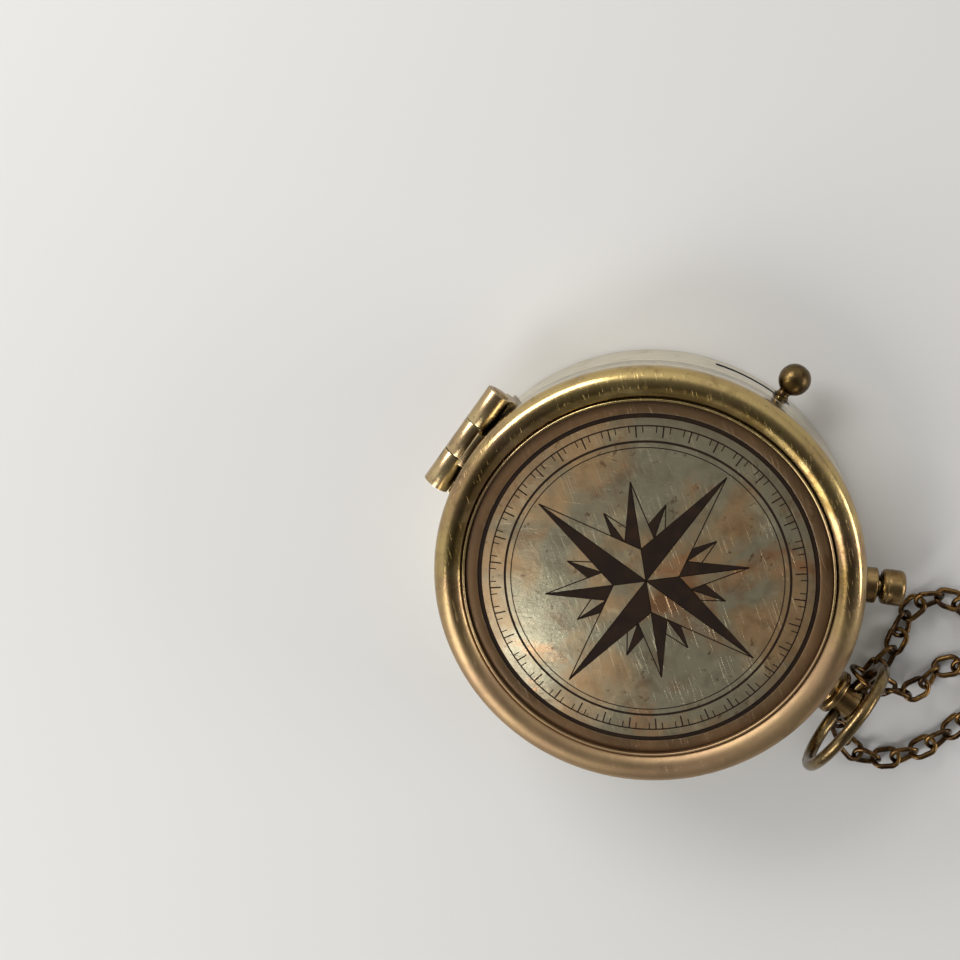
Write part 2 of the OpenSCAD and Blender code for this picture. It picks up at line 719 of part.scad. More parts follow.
// The end of the last link stays inside the ring, this far from its middle at most
end_room = end_r - (end_wire + link_wire) / 2 - end_hang;
end_reach = sqrt(max(0, end_room * end_room - pow(end_z - lie_z, 2)));
end_p = walk(link_s(all_links - 1) + link_half + end_reach);
module end_ring() {
    color("sienna") translate([end_p[0], end_p[1], end_z]) rotate([0, 0, end_p[2]])
        rotate([90, 0, 0]) rotate_extrude() translate([end_r, 0]) circle(r = end_wire / 2);
}
eye_r = 1.9;
eye_wire = 0.9;
bar_knob_r = 1.7;
bar_sink = 0.1;              // depth of the eye in the bar
bar_hang = 0.15;             // free room between the end ring and the eye
bar_z = bar_knob_r + table_clear;
module bar() {
    ring_half = sqrt(end_r * end_r - pow(end_z - bar_z, 2));
    eye_x = ring_half - (end_wire + eye_wire) / 2 - bar_hang + eye_r;
    bar_x = eye_x + eye_r + bar_d / 2 - bar_sink;
    color("sienna") translate([end_p[0], end_p[1], bar_z])
        rotate([0, 0, end_p[2]]) union() {
            translate([eye_x, 0, 0]) rotate_extrude() translate([eye_r, 0])
                circle(r = eye_wire / 2);
            translate([bar_x, -bar_len / 2, 0]) rotate([-90, 0, 0])
                cylinder(r = bar_d / 2, h = bar_len);
            for (s = [-1, 1])
                translate([bar_x, s * bar_len / 2, 0]) sphere(r = bar_knob_r);
        }
}

case_body();
back_cover();
pivot_post();
pivot_point();
lifter_sleeve();
lock_lever();
lock_knob();
dial_plate();
dial_ring();
needle();
needle_cap();
needle_jewel();
glass();
glass_bezel();
case_hinge_leaf();
lid_hinge_leaf();
hinge_pin();
lid_rim();
lid_plate();
lid_striker();
button_bush();
button_head();
button_stem();
button_spring();
catch_arm();
pendant_collar();
pendant_post();
bow_ring();
jump_ring();
chain_lead();
chain_loop();
chain_run();
end_ring();
bar();
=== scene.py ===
# %% [markdown]
# # A brass pocket compass with a hinged lid
#
# The solids of this compass come from its CAD model, which also knows how each piece moves.
# This script dresses them: it keeps the solids that are right, replaces the ones that need
# finer forms, and gives every surface the finish of old, handled brass.
#
# Lengths are written in millimetres, as on a maker's drawing, and `mm` turns them into the
# metres that Blender uses. The compass lies on its back: +Z comes out of the lid, the lid's
# hinge is at +Y and the pendant with the bow is at -Y.

# %% Load the frame
import math

import bmesh
import bpy
from mathutils import Matrix, Vector


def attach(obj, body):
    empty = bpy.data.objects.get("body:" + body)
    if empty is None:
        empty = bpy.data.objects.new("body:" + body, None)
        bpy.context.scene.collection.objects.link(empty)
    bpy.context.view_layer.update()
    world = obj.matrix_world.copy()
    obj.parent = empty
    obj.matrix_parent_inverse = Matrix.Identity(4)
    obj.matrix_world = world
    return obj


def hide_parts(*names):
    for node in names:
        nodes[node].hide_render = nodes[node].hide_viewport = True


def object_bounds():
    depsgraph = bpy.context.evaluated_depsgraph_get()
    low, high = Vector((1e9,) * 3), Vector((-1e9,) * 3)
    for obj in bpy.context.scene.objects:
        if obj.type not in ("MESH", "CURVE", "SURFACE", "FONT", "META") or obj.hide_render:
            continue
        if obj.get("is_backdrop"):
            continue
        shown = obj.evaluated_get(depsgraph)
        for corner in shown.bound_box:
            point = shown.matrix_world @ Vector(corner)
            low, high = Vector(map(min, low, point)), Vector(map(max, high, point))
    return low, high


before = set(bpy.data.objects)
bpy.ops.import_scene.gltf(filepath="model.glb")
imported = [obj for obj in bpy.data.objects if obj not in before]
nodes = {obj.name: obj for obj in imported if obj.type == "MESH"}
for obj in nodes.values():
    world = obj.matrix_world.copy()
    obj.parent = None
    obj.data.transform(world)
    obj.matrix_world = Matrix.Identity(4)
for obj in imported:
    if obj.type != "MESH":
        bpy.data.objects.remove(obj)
cad_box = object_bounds()
mm = 0.001

# %% [markdown]
# ## The camera
#
# The camera looks down on the lid, a little from the lever's side. A constraint could aim it at
# the lid, but the picture is also turned about the line of sight, which aiming leaves open. So
# its three directions are written out and put into a matrix: a Blender camera looks along its
# own -Z, with +X to the right of the picture and +Y up.


# %% Camera
def add(name, data):
    """A new object in the scene that holds some data, such as a mesh or a lamp."""
    thing = bpy.data.objects.new(name, data)
    bpy.context.scene.collection.objects.link(thing)
    return thing


view_right = Vector((0.5657, -0.8121, -0.1431)).normalized()
view_in = Vector((-0.2665, -0.0159, -0.9637)).normalized()
view_up = view_right.cross(view_in).normalized()
view_from = Vector((56.896, 32.189, 232.156))
turn = Matrix((view_right, view_up, -view_in)).transposed().to_4x4()
camera_data = bpy.data.cameras.new("compass_camera")
camera_data.lens = 56.25
camera_data.sensor_width = 36
camera_data.clip_start = 0.01
camera = add("compass_camera", camera_data)
camera.matrix_world = Matrix.Translation(view_from * mm) @ turn
bpy.context.scene.camera = camera
bpy.context.scene.view_settings.view_transform = "Standard"
print("camera at", [round(v / mm, 1) for v in camera.matrix_world.translation], "mm")

# %% [markdown]
# ## Table and light
#
# Metal shows what is around it more than its own colour, so the room matters as much as the
# finish. A photographed room could light the scene, but a few nodes do it without a picture file
# and can be tuned. The sky is a plain grey tent, bright all round at the sides and dim straight
# above, where a camera would look in. So a flat lid stays dark while its rounded rim takes a
# bright line on each side. Three soft lamps add to it. The table is a plain pale sheet.


# %% Node helpers
def put(tree, kind, inputs=None, **settings):
    """Adds a node; inputs holds a value or a socket to join for each named input."""
    node = tree.nodes.new(kind)
    for key, value in settings.items():
        setattr(node, key, value)
    for key, value in (inputs or {}).items():
        if isinstance(value, bpy.types.NodeSocket):
            tree.links.new(value, node.inputs[key])
        else:
            node.inputs[key].default_value = value
    return node


def reckon(tree, operation, first, second, clamp=False):
    """The result of a Math node."""
    return put(tree, "ShaderNodeMath", {0: first, 1: second}, operation=operation,
               use_clamp=clamp).outputs["Value"]


def vector(tree, operation, first, second=(0, 0, 0), out="Vector"):
    """The result of a Vector Math node; a length or a dot product comes out as a Value."""
    return put(tree, "ShaderNodeVectorMath", {0: first, 1: second},
               operation=operation).outputs[out]


def ramp(tree, value, low, high, to_low=0.0, to_high=1.0, smooth=True):
    """Stretches the values between low and high over a new range, with soft ends if smooth."""
    return put(tree, "ShaderNodeMapRange",
               {"Value": value, "From Min": low, "From Max": high, "To Min": to_low,
                "To Max": to_high},
               interpolation_type="SMOOTHSTEP" if smooth else "LINEAR").outputs["Result"]


# %% World
brightest_way = (0.25, 0.85, 0.46)
seen_grey = (0.66, 0.65, 0.63, 1)
world = bpy.data.worlds.new("studio")
bpy.context.scene.world = world
world.use_nodes = True
sky = world.node_tree
sky.nodes.clear()
direction = put(sky, "ShaderNodeTexCoord").outputs["Generated"]
lean = vector(sky, "DOT_PRODUCT", direction, brightest_way, "Value")
side = ramp(sky, lean, -0.5, 0.95, 0.3, 0.95)
height = put(sky, "ShaderNodeSeparateXYZ", {"Vector": direction}).outputs["Z"]
tent = ramp(sky, height, 0.6, 0.94, 1.0, 0.17)
glow = reckon(sky, "MULTIPLY", side, tent)
room = put(sky, "ShaderNodeBackground", {"Color": glow, "Strength": 1.0})
pale = put(sky, "ShaderNodeBackground", {"Color": seen_grey, "Strength": 1.0})
seen_directly = put(sky, "ShaderNodeLightPath").outputs["Is Camera Ray"]
shown = put(sky, "ShaderNodeMixShader", {0: seen_directly, 1: room.outputs["Background"],
                                         2: pale.outputs["Background"]})
put(sky, "ShaderNodeOutputWorld", {"Surface": shown.outputs["Shader"]})
print("world nodes:", len(sky.nodes))


# %% Lamps
def soft_lamp(name, place, size, power):
    """A rectangular lamp that shines at the middle of the compass."""
    lamp = bpy.data.lights.new(name, "AREA")
    lamp.shape = "RECTANGLE"
    lamp.size, lamp.size_y = size
    lamp.energy = power
    aim = (Vector((0, 0, 0.01)) - Vector(place)).to_track_quat("-Z", "Y")
    add(name, lamp).matrix_world = Matrix.Translation(place) @ aim.to_matrix().to_4x4()


soft_lamp("key_lamp", (0.10, 0.42, 0.26), (0.34, 0.16), 1.7)
soft_lamp("back_lamp", (-0.36, 0.06, 0.30), (0.16, 0.30), 1.0)
soft_lamp("front_lamp", (0.22, -0.34, 0.14), (0.22, 0.08), 0.5)
print("lamps:", len(bpy.data.lights))

# %% Table
table_half = 0.8
table_bm = bmesh.new()
bmesh.ops.create_grid(table_bm, x_segments=2, y_segments=2, size=table_half)
table_mesh = bpy.data.meshes.new("table")
table_bm.to_mesh(table_mesh)
table = add("table", table_mesh)
table_paint = bpy.data.materials.new("table_paint")
table_paint.use_nodes = True
table_shader = table_paint.node_tree.nodes["Principled BSDF"]
table_shader.inputs["Base Color"].default_value = (0.62, 0.61, 0.59, 1)
table_shader.inputs["Roughness"].default_value = 0.75
table_mesh.materials.append(table_paint)
table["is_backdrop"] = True
print("table:", 2 * table_half, "m wide")

# %% [markdown]
# ## Finishes: groups of nodes
#
# Old brass is not one colour. It has broad cloudy patches, fine turning marks from the lathe,
# dirt in its corners, darkened there further with painted shade, and bright metal where fingers
# rub its edges. All that could be painted by hand, but nodes need no unwrapping and stay sharp
# at any distance. Each effect is made once, as a node group with named inputs, and every finish
# below uses it with its own values. All of them read Object coordinates, so they stay on the
# metal as it moves.


# %% Group helpers
def new_group(name, inputs, outputs):
    """A shader group: inputs are (name, socket kind, default), outputs are (name, kind)."""
    tree = bpy.data.node_groups.new(name, "ShaderNodeTree")
    for label, kind, default in inputs:
        tree.interface.new_socket(name=label, in_out="INPUT",
                                  socket_type=kind).default_value = default
    for label, kind in outputs:
        tree.interface.new_socket(name=label, in_out="OUTPUT", socket_type=kind)
    return tree, tree.nodes.new("NodeGroupInput").outputs, tree.nodes.new("NodeGroupOutput")


def on_piece(tree):
    """Where a point lies on its piece: a vector that moves and turns with the piece."""
    return put(tree, "ShaderNodeTexCoord").outputs["Object"]


NUMBER = "NodeSocketFloat"

# %% Group: cloudy patches
patches, given, result = new_group(
    "cloudy_patches",
    [("Size", NUMBER, 0.01), ("Low", NUMBER, 0.4), ("High", NUMBER, 0.6), ("Shift", NUMBER, 0.0)],
    [("Mask", NUMBER)])
scale = reckon(patches, "DIVIDE", 1.0, given["Size"])
moved = vector(patches, "ADD", on_piece(patches), given["Shift"])
noise = put(patches, "ShaderNodeTexNoise",
            {"Vector": moved, "Scale": scale, "Detail": 5.0, "Roughness": 0.58,
             "Distortion": 0.35}).outputs["Fac"]
patches.links.new(ramp(patches, noise, given["Low"], given["High"]), result.inputs["Mask"])


# %% Group: turning marks
def from_axis(tree):
    """The X, Y and Z of a point on its piece, and the flat vector to it from the Z axis."""
    axes = put(tree, "ShaderNodeSeparateXYZ", {"Vector": on_piece(tree)}).outputs
    flat = put(tree, "ShaderNodeCombineXYZ", {"X": axes["X"], "Y": axes["Y"]})
    return axes, flat.outputs["Vector"]


turning, given, result = new_group(
    "turning_marks", [("Pitch", NUMBER, 0.0002), ("Wobble", NUMBER, 6.0)], [("Mask", NUMBER)])
axes, flat = from_axis(turning)
tight = reckon(turning, "DIVIDE", vector(turning, "LENGTH", flat, out="Value"), given["Pitch"])
tall = reckon(turning, "DIVIDE", axes["Z"], given["Pitch"])
bearing = vector(turning, "NORMALIZE", flat)
spot = put(turning, "ShaderNodeVectorMath", {0: bearing, 3: given["Wobble"]}, operation="SCALE")
lines = put(turning, "ShaderNodeCombineXYZ", {"X": tight, "Y": tall})
along = vector(turning, "ADD", lines.outputs["Vector"], spot.outputs["Vector"])
grain = put(turning, "ShaderNodeTexNoise", {"Vector": along, "Scale": 1.0, "Detail": 2.0})
turning.links.new(grain.outputs["Fac"], result.inputs["Mask"])

# %% Group: rubbed edges
rubbed, given, result = new_group(
    "rubbed_edges", [("Width", NUMBER, 0.0002), ("Gain", NUMBER, 4.0)], [("Mask", NUMBER)])
soft = put(rubbed, "ShaderNodeBevel", {"Radius": given["Width"]}, samples=4).outputs["Normal"]
hard = put(rubbed, "ShaderNodeNewGeometry").outputs["Normal"]
away = reckon(rubbed, "SUBTRACT", 1.0, vector(rubbed, "DOT_PRODUCT", soft, hard, "Value"))
strong = reckon(rubbed, "MULTIPLY", away, given["Gain"], clamp=True)
rubbed.links.new(strong, result.inputs["Mask"])

# %% Group: dirt and painted shade in corners
dirt_and_shade, given, result = new_group(
    "corner_dirt_and_shade", [("Reach", NUMBER, 0.001), ("Low", NUMBER, 0.35), ("High", NUMBER, 0.9)],
    [("Mask", NUMBER)])
# Ambient occlusion, also from neighbouring parts and the table, darkens corners and gaps: partly
# dirt, partly painted shade.
open_sky = put(dirt_and_shade, "ShaderNodeAmbientOcclusion", {"Distance": given["Reach"]}, samples=4,
               only_local=False).outputs["AO"]
dirt_and_shade_mask = ramp(dirt_and_shade, open_sky, given["Low"], given["High"], 1.0, 0.0, smooth=False)
dirt_and_shade.links.new(dirt_and_shade_mask, result.inputs["Mask"])

# %% Group: fine scratches
scratched, given, result = new_group(
    "fine_scratches",
    [("Angle", NUMBER, 0.0), ("Length", NUMBER, 0.007), ("Width", NUMBER, 0.00009),
     ("Low", NUMBER, 0.66), ("High", NUMBER, 0.74)], [("Mask", NUMBER)])
askew = put(scratched, "ShaderNodeVectorRotate",
            {"Vector": on_piece(scratched), "Angle": given["Angle"]}, rotation_type="Z_AXIS")
axes = put(scratched, "ShaderNodeSeparateXYZ", {"Vector": askew.outputs["Vector"]}).outputs
across = reckon(scratched, "DIVIDE", axes["X"], given["Width"])
along = reckon(scratched, "DIVIDE", axes["Y"], given["Length"])
drawn = put(scratched, "ShaderNodeCombineXYZ", {"X": across, "Y": along}).outputs["Vector"]
streak = put(scratched, "ShaderNodeTexNoise", {"Vector": drawn, "Scale": 1.0, "Detail": 1.0})
line = ramp(scratched, streak.outputs["Fac"], given["Low"], given["High"], smooth=False)
scratched.links.new(line, result.inputs["Mask"])
print("node groups:", [g.name for g in bpy.data.node_groups])

# %% [markdown]
# ## Finishes: the metals
#
# A metal finish is put together in the order in which it comes about on the real piece: the
# bare metal, then warm and dark clouds of tarnish, dirt in the corners together with painted
# shade, and at last the edges that rubbing keeps bright. Tarnish also makes the surface rougher,
# so the same masks steer the roughness. One function holds that order, so that a new metal is
# only a set of colours, each written as it looks on a screen, from 0 to 255.


# %% Mixing helpers
def paint(colour):
    """Turns a colour as seen on a screen, 0 to 255, into a shader's; a socket stays itself."""
    def linear(value):
        value /= 255
        return value / 12.92 if value <= 0.04045 else ((value + 0.055) / 1.055) ** 2.4
    if isinstance(colour, bpy.types.NodeSocket):
        return colour
    return (*[linear(value) for value in colour], 1)


def mix(tree, mask, first, second):
    """The first colour where the mask is 0, the second where it is 1."""
    return put(tree, "ShaderNodeMix", {"Factor": mask, 6: paint(first), 7: paint(second)},
               data_type="RGBA").outputs[2]


def use(tree, group, **values):
    """The mask of a node group, with its inputs set."""
    node = put(tree, "ShaderNodeGroup", node_tree=group)
    for key, value in values.items():
        node.inputs[key].default_value = value
    return node.outputs["Mask"]


def times(tree, first, second):
    return reckon(tree, "MULTIPLY", first, second, clamp=True)


def less(tree, first, second):
    return reckon(tree, "SUBTRACT", first, second, clamp=True)


def start(name, metallic, roughness):
    """A new material with its plain values: the material, its tree and its shader."""
    material = bpy.data.materials.new(name)
    material.use_nodes = True
    shader = material.node_tree.nodes["Principled BSDF"]
    shader.inputs["Metallic"].default_value = metallic
    shader.inputs["Roughness"].default_value = roughness
    return material, material.node_tree, shader


# %% Tarnish
def tarnish(tree, clean, warm, dark, bright, cloud, warm_share=1.0, dark_share=0.75, shift=0.0,
            reach=0.0012):
    """Colour, and the mask of dark tarnish, of a piece of handled brass."""
    warm_cloud = use(tree, patches, Size=cloud, Low=0.38, High=0.66, Shift=shift)
    dark_cloud = use(tree, patches, Size=cloud * 0.45, Low=0.5, High=0.72, Shift=shift + 0.3)
    speckle = use(tree, patches, Size=0.0007, Low=0.56, High=0.7, Shift=shift)
    # Dirt and painted shade: corners and gaps darkened from ambient occlusion.
    corners = use(tree, dirt_and_shade, Reach=reach)
    colour = mix(tree, times(tree, warm_cloud, warm_share), clean, warm)
    colour = mix(tree, times(tree, dark_cloud, dark_share * 0.6), colour, dark)
    colour = mix(tree, times(tree, speckle, dark_share * 0.35), colour, dark)
    colour = mix(tree, times(tree, corners, dark_share), colour, dark)
    edges = use(tree, rubbed, Width=0.00018, Gain=5.0)
    colour = mix(tree, times(tree, edges, 0.8), colour, bright)
    return colour, dark_cloud


# %% Bumps and roughness
def bumps(tree, shader, masks, height):
    """Joins masks, each with its own share, into one height for the Normal."""
    total = 0.0
    for mask, share in masks:
        total = reckon(tree, "ADD", total, reckon(tree, "MULTIPLY", mask, share))
    bump = put(tree, "ShaderNodeBump", {"Height": total, "Distance": height, "Strength": 1.0})
    tree.links.new(bump.outputs["Normal"], shader.inputs["Normal"])


def rough_from(tree, shader, mask, low, high):
    """Roughness from low, where the mask is 0, to high, where it is 1."""
    spread = ramp(tree, mask, 0.0, 1.0, low, high, smooth=False)
    tree.links.new(spread, shader.inputs["Roughness"])


# %% Metal recipe
def old_metal(name, clean, warm, dark, bright, cloud, rough=(0.26, 0.48), marks=0.35, pits=0.5,
              **shares):
    """A metal from its four colours: clean, warm and dark tarnish, and rubbed bright."""
    material, tree, shader = start(name, 1.0, rough[0])
    colour, cloudy = tarnish(tree, clean, warm, dark, bright, cloud, **shares)
    tree.links.new(colour, shader.inputs["Base Color"])
    rough_from(tree, shader, cloudy, *rough)
    lathe = use(tree, turning, Pitch=0.00016)
    grit = use(tree, patches, Size=0.0005, Low=0.35, High=0.75)
    bumps(tree, shader, [(lathe, marks), (grit, pits)], 0.000012)
    return material


# %% Brass and bronze
rubbed_gold = (232, 205, 140)
fitting_brass = old_metal("fitting_brass", (156, 130, 88), (122, 94, 58), (52, 36, 22),
                          rubbed_gold, 0.004, rough=(0.22, 0.42))
inner_brass = old_metal("inner_brass", (214, 182, 118), (200, 160, 96), (120, 86, 44),
                        rubbed_gold, 0.006, rough=(0.2, 0.34), dark_share=0.3)
hinge_brass = old_metal("hinge_brass", (188, 166, 122), (164, 138, 104), (40, 28, 17),
                        (246, 228, 184), 0.005, rough=(0.24, 0.4), pits=0.45, dark_share=0.95,
                        reach=0.0018)
dark_bronze = old_metal("dark_bronze", (66, 48, 34), (138, 104, 58), (22, 16, 12),
                        (198, 152, 88), 0.0026, rough=(0.22, 0.44), pits=0.9, warm_share=0.85,
                        reach=0.0014)
bow_brass = old_metal("bow_brass", (128, 110, 76), (98, 78, 50), (42, 30, 20), (214, 190, 134),
                      0.005, rough=(0.2, 0.4), pits=0.8, dark_share=0.9)
ball_bronze = old_metal("ball_bronze", (104, 86, 54), (78, 60, 38), (36, 25, 17),
                        (190, 160, 108), 0.002, rough=(0.3, 0.5), pits=1.2, reach=0.0009)
spring_steel = old_metal("spring_steel", (176, 176, 178), (150, 148, 146), (90, 84, 78),
                         (226, 226, 226), 0.003, rough=(0.2, 0.34))
print("metals ready")

# %% [markdown]
# ## Finish: rim, side wall and lid plate
#
# The rim is warm brass. The straight side wall below it is paler and greyer: the lathe left it
# smoother and it mirrors the table, and its pale grey colour is partly a painted reflection of
# the bright light on that polished face. Two materials with a hard border between them would
# show a line, so one does both: it fades from one set of colours to the other by height. One
# side of the rim is duller and painted tan, a painted reflection, and on the other side the
# inner slope has patches of olive, a painted dark reflection. Round the lever's slot the wall
# is painted dark as painted shade, and by the ball's neck it has streaks of painted shadow.
# The plate in the lid is heavily tarnished: grey-green clouds over tan, with a few blushes of
# copper pink, spots, and fine scratches.


# %% Where a finish begins
def fade(tree, axis, start_at, end_at):
    """0 below start_at and 1 above end_at, along one object axis or the radius."""
    axes, flat = from_axis(tree)
    value = vector(tree, "LENGTH", flat, out="Value") if axis == "radius" else axes[axis]
    return ramp(tree, value, start_at * mm, end_at * mm)


def toward(tree, bearing, start_at, end_at):
    """0 to 1 as a point moves from start_at to end_at in a direction given in degrees."""
    angle = math.radians(bearing)
    pointing = (math.cos(angle), math.sin(angle), 0)
    way = vector(tree, "DOT_PRODUCT", on_piece(tree), pointing, "Value")
    return ramp(tree, way, start_at * mm, end_at * mm)


def arc_mask(tree, begin, end, level, half, blur):
    """A band round the wall from one bearing to another, at a level, with soft edges."""
    band = less(tree, fade(tree, "Z", level - half, level - half + blur),
                fade(tree, "Z", level + half - blur, level + half))
    return times(tree, band, times(tree, toward(tree, begin + 90, -blur, blur),
                                   toward(tree, end - 90, -blur, blur)))


# %% Rim brass
# Pale grey brass for the side wall: partly its own colour, partly a painted reflection of the
# bright light its polished face mirrors.
sheen_wall_colours = ((216, 205, 176), (200, 184, 148), (96, 78, 54), (242, 234, 212))


def rim_metal(reflection_side=217, slope_in=(27.6, 28.3), slope_out=(29.0, 30.3)):
    """Rim over wall; the first argument is the bearing, in degrees, of the side painted tan as a
    painted reflection, and the slope's ends are radii.
    """
    material, tree, shader = start("rim_brass", 1.0, 0.3)
    warm, cloudy = tarnish(tree, (184, 160, 106), (156, 126, 94), (66, 46, 26),
                           (248, 234, 188), 0.012, dark_share=0.85)
    grey, _ = tarnish(tree, *sheen_wall_colours, 0.011, warm_share=0.6, dark_share=0.3)
    # Painted reflection: the side that faces this bearing is tinted tan and made duller.
    tan_reflection_side = toward(tree, reflection_side, -4, 16)
    warm = mix(tree, times(tree, tan_reflection_side, 0.8), warm, (162, 134, 102))
    # Painted dark reflection: patches of olive on the inner slope of the tube, away from the tan
    # side.
    slope = less(tree, fade(tree, "radius", *slope_in), fade(tree, "radius", *slope_out))
    slope = less(tree, times(tree, slope, fade(tree, "Z", 17.0, 18.0)), tan_reflection_side)
    olive_reflection_patches = use(tree, patches, Size=0.006, Low=0.3, High=0.6, Shift=0.5)
    warm = mix(tree, times(tree, times(tree, slope, olive_reflection_patches), 0.8), warm, (98, 76, 34))
    high = fade(tree, "Z", 15.6, 16.9)
    tree.links.new(mix(tree, high, grey, warm), shader.inputs["Base Color"])
    worn = use(tree, patches, Size=0.024, Low=0.4, High=0.62, Shift=0.13)
    dull = reckon(tree, "ADD", times(tree, cloudy, 0.35), times(tree, worn, 0.3))
    dull = reckon(tree, "ADD", dull, times(tree, tan_reflection_side, 0.75), clamp=True)
    rough_from(tree, shader, dull, 0.13, 0.5)
    lathe = use(tree, turning, Pitch=0.00014, Wobble=9.0)
    grit = use(tree, patches, Size=0.0006, Low=0.35, High=0.75)
    nicks = use(tree, scratched, Angle=0.7, Length=0.004, Width=0.00008)
    bumps(tree, shader, [(lathe, 0.5), (grit, 0.45), (nicks, -0.8)], 0.00001)
    return material


rim_brass = rim_metal()
print("rim:", len(rim_brass.node_tree.nodes), "nodes")

# %% Wall brass
slot_z, slot_from, slot_to, knob_at = 5.35, -4.4, 17.9, -1.5


def wall_metal():
    """The case's side, with painted shade round the slot and streaky painted shadow at the ball's
    neck.
    """
    material, tree, shader = start("wall_brass", 1.0, 0.25)
    grey, haze = tarnish(tree, *sheen_wall_colours, 0.011, warm_share=0.6, dark_share=0.3,
                         reach=0.002)
    # Painted shade: a near-black band round the lever's slot makes the shaded opening look wider.
    slot_shade = arc_mask(tree, slot_from, slot_to, slot_z, 1.4, 0.3)
    grey = mix(tree, times(tree, slot_shade, 0.95), grey, (24, 18, 12))
    # Painted shadow: dark streaks on the wall beside the ball's neck, where its shadow falls.
    streaks = ramp(tree, use(tree, turning, Pitch=0.0003, Wobble=5.0), 0.4, 0.56)
    neck_shadow = arc_mask(tree, knob_at - 5.5, knob_at + 4.5, slot_z, 2.6, 1.1)
    grey = mix(tree, times(tree, times(tree, neck_shadow, streaks), 0.8), grey, (58, 44, 30))
    tree.links.new(grey, shader.inputs["Base Color"])
    rough_from(tree, shader, haze, 0.14, 0.3)
    lathe = use(tree, turning, Pitch=0.00012, Wobble=9.0)
    bumps(tree, shader, [(lathe, 0.5)], 0.00001)
    return material


wall_brass = wall_metal()
print("wall:", len(wall_brass.node_tree.nodes), "nodes")


# %% Tarnished plate
def plate_metal(name, grey, tan, blush):
    """Layers of cloud: each has a size, the noise it starts and ends at, and its share."""
    material, tree, shader = start(name, 0.7, 0.4)
    wide = use(tree, patches, Size=0.017, Low=0.42, High=0.6)
    pink = use(tree, patches, Size=0.013, Low=0.55, High=0.7, Shift=0.21)
    colour = mix(tree, times(tree, pink, 0.8), mix(tree, wide, grey, tan), blush)
    for size, low, high, shift, share, shade in (
            (0.008, 0.56, 0.72, 0.47, 0.55, (110, 76, 46)),    # brown clouds
            (0.0032, 0.42, 0.68, 0.35, 0.3, (84, 70, 50)),     # mottling
            (0.0045, 0.56, 0.72, 0.62, 0.3, (206, 190, 152)),  # rubbed bright
            (0.0014, 0.63, 0.69, 0.11, 0.6, (78, 52, 32))):    # spots
        cloud = use(tree, patches, Size=size, Low=low, High=high, Shift=shift)
        colour = mix(tree, times(tree, cloud, share), colour, shade)
    nicks = use(tree, scratched, Angle=0.6)
    hairs = use(tree, scratched, Angle=-0.5, Length=0.005, Width=0.00007, Low=0.68)
    colour = mix(tree, times(tree, nicks, 0.35), colour, (212, 198, 164))
    colour = mix(tree, times(tree, hairs, 0.3), colour, (70, 52, 34))
    for mask, share, shade in (
            (fade(tree, "radius", 25.0, 25.5), 0.85, (112, 84, 54)),  # outside the groove
            (fade(tree, "radius", 20.0, 26.9), 0.35, (92, 64, 40)),   # towards the edge
            # dirt and painted shade, from ambient occlusion
            (use(tree, dirt_and_shade, Reach=0.0011), 0.8, (46, 30, 18))):      # in corners
        colour = mix(tree, times(tree, mask, share), colour, shade)
    tree.links.new(colour, shader.inputs["Base Color"])
    bare = ramp(tree, pink, 0.0, 1.0, 0.6, 0.9, smooth=False)
    tree.links.new(bare, shader.inputs["Metallic"])
    rough_from(tree, shader, wide, 0.27, 0.42)
    grit = use(tree, patches, Size=0.0007, Low=0.3, High=0.8)
    lathe = use(tree, turning, Pitch=0.0003)
    bumps(tree, shader, [(grit, 0.8), (lathe, 0.3), (nicks, -0.7), (hairs, -0.7)], 0.000012)
    return material


plate_patina = plate_metal("plate_patina", (140, 134, 110), (150, 122, 86), (184, 130, 86))
back_patina = plate_metal("back_patina", (170, 150, 106), (156, 124, 80), (150, 108, 66))
print("plate:", len(plate_patina.node_tree.nodes), "nodes")

# %% [markdown]
# ## Finishes: glass, enamel, ink, ruby and blued steel
#
# The window is clear glass with plain values, so that it stays see-through in any viewer. The
# dial is cream enamel with a faint cloud of age. Ink is slightly soft at the surface. Blued
# steel is metal whose thin oxide gives it a deep blue, purple in patches. All but glass and
# ruby are one colour with a cloud of a second one, so one recipe makes them.


# %% Plain finishes
def coated(name, colour, cloud_colour, metallic=0.0, rough=(0.3, 0.45), cloud=0.006, share=0.5,
           coat=0.0, glint=0.5):
    """A plain finish with a faint cloud; glint is how strongly its surface mirrors."""
    material, tree, shader = start(name, metallic, rough[0])
    cloud_mask = use(tree, patches, Size=cloud, Low=0.4, High=0.7)
    mixed = mix(tree, times(tree, cloud_mask, share), colour, cloud_colour)
    tree.links.new(mixed, shader.inputs["Base Color"])
    rough_from(tree, shader, cloud_mask, *rough)
    shader.inputs["Coat Weight"].default_value = coat
    shader.inputs["Specular IOR Level"].default_value = glint
    return material


dial_enamel = coated("dial_enamel", (236, 228, 204), (216, 200, 164), coat=0.4)
dark_ink = coated("dark_ink", (30, 24, 20), (52, 42, 32), rough=(0.4, 0.6), glint=0.2)
red_ink = coated("red_ink", (150, 34, 26), (122, 30, 24), rough=(0.4, 0.6))
etched_ink = coated("etched_ink", (28, 18, 11), (50, 33, 20), rough=(0.6, 0.8), cloud=0.003,
                    glint=0.12)
blued_steel = coated("blued_steel", (38, 56, 120), (52, 44, 92), metallic=1.0,
                     rough=(0.16, 0.26), cloud=0.008)
bright_steel = coated("bright_steel", (176, 176, 180), (150, 148, 146), metallic=1.0,
                      rough=(0.18, 0.3), cloud=0.004)
ruby, _, ruby_shader = start("ruby", 0.0, 0.1)
ruby_shader.inputs["Base Color"].default_value = paint((150, 16, 34))
ruby_shader.inputs["Coat Weight"].default_value = 1.0
window_glass, _, glass_shader = start("window_glass", 0.0, 0.03)
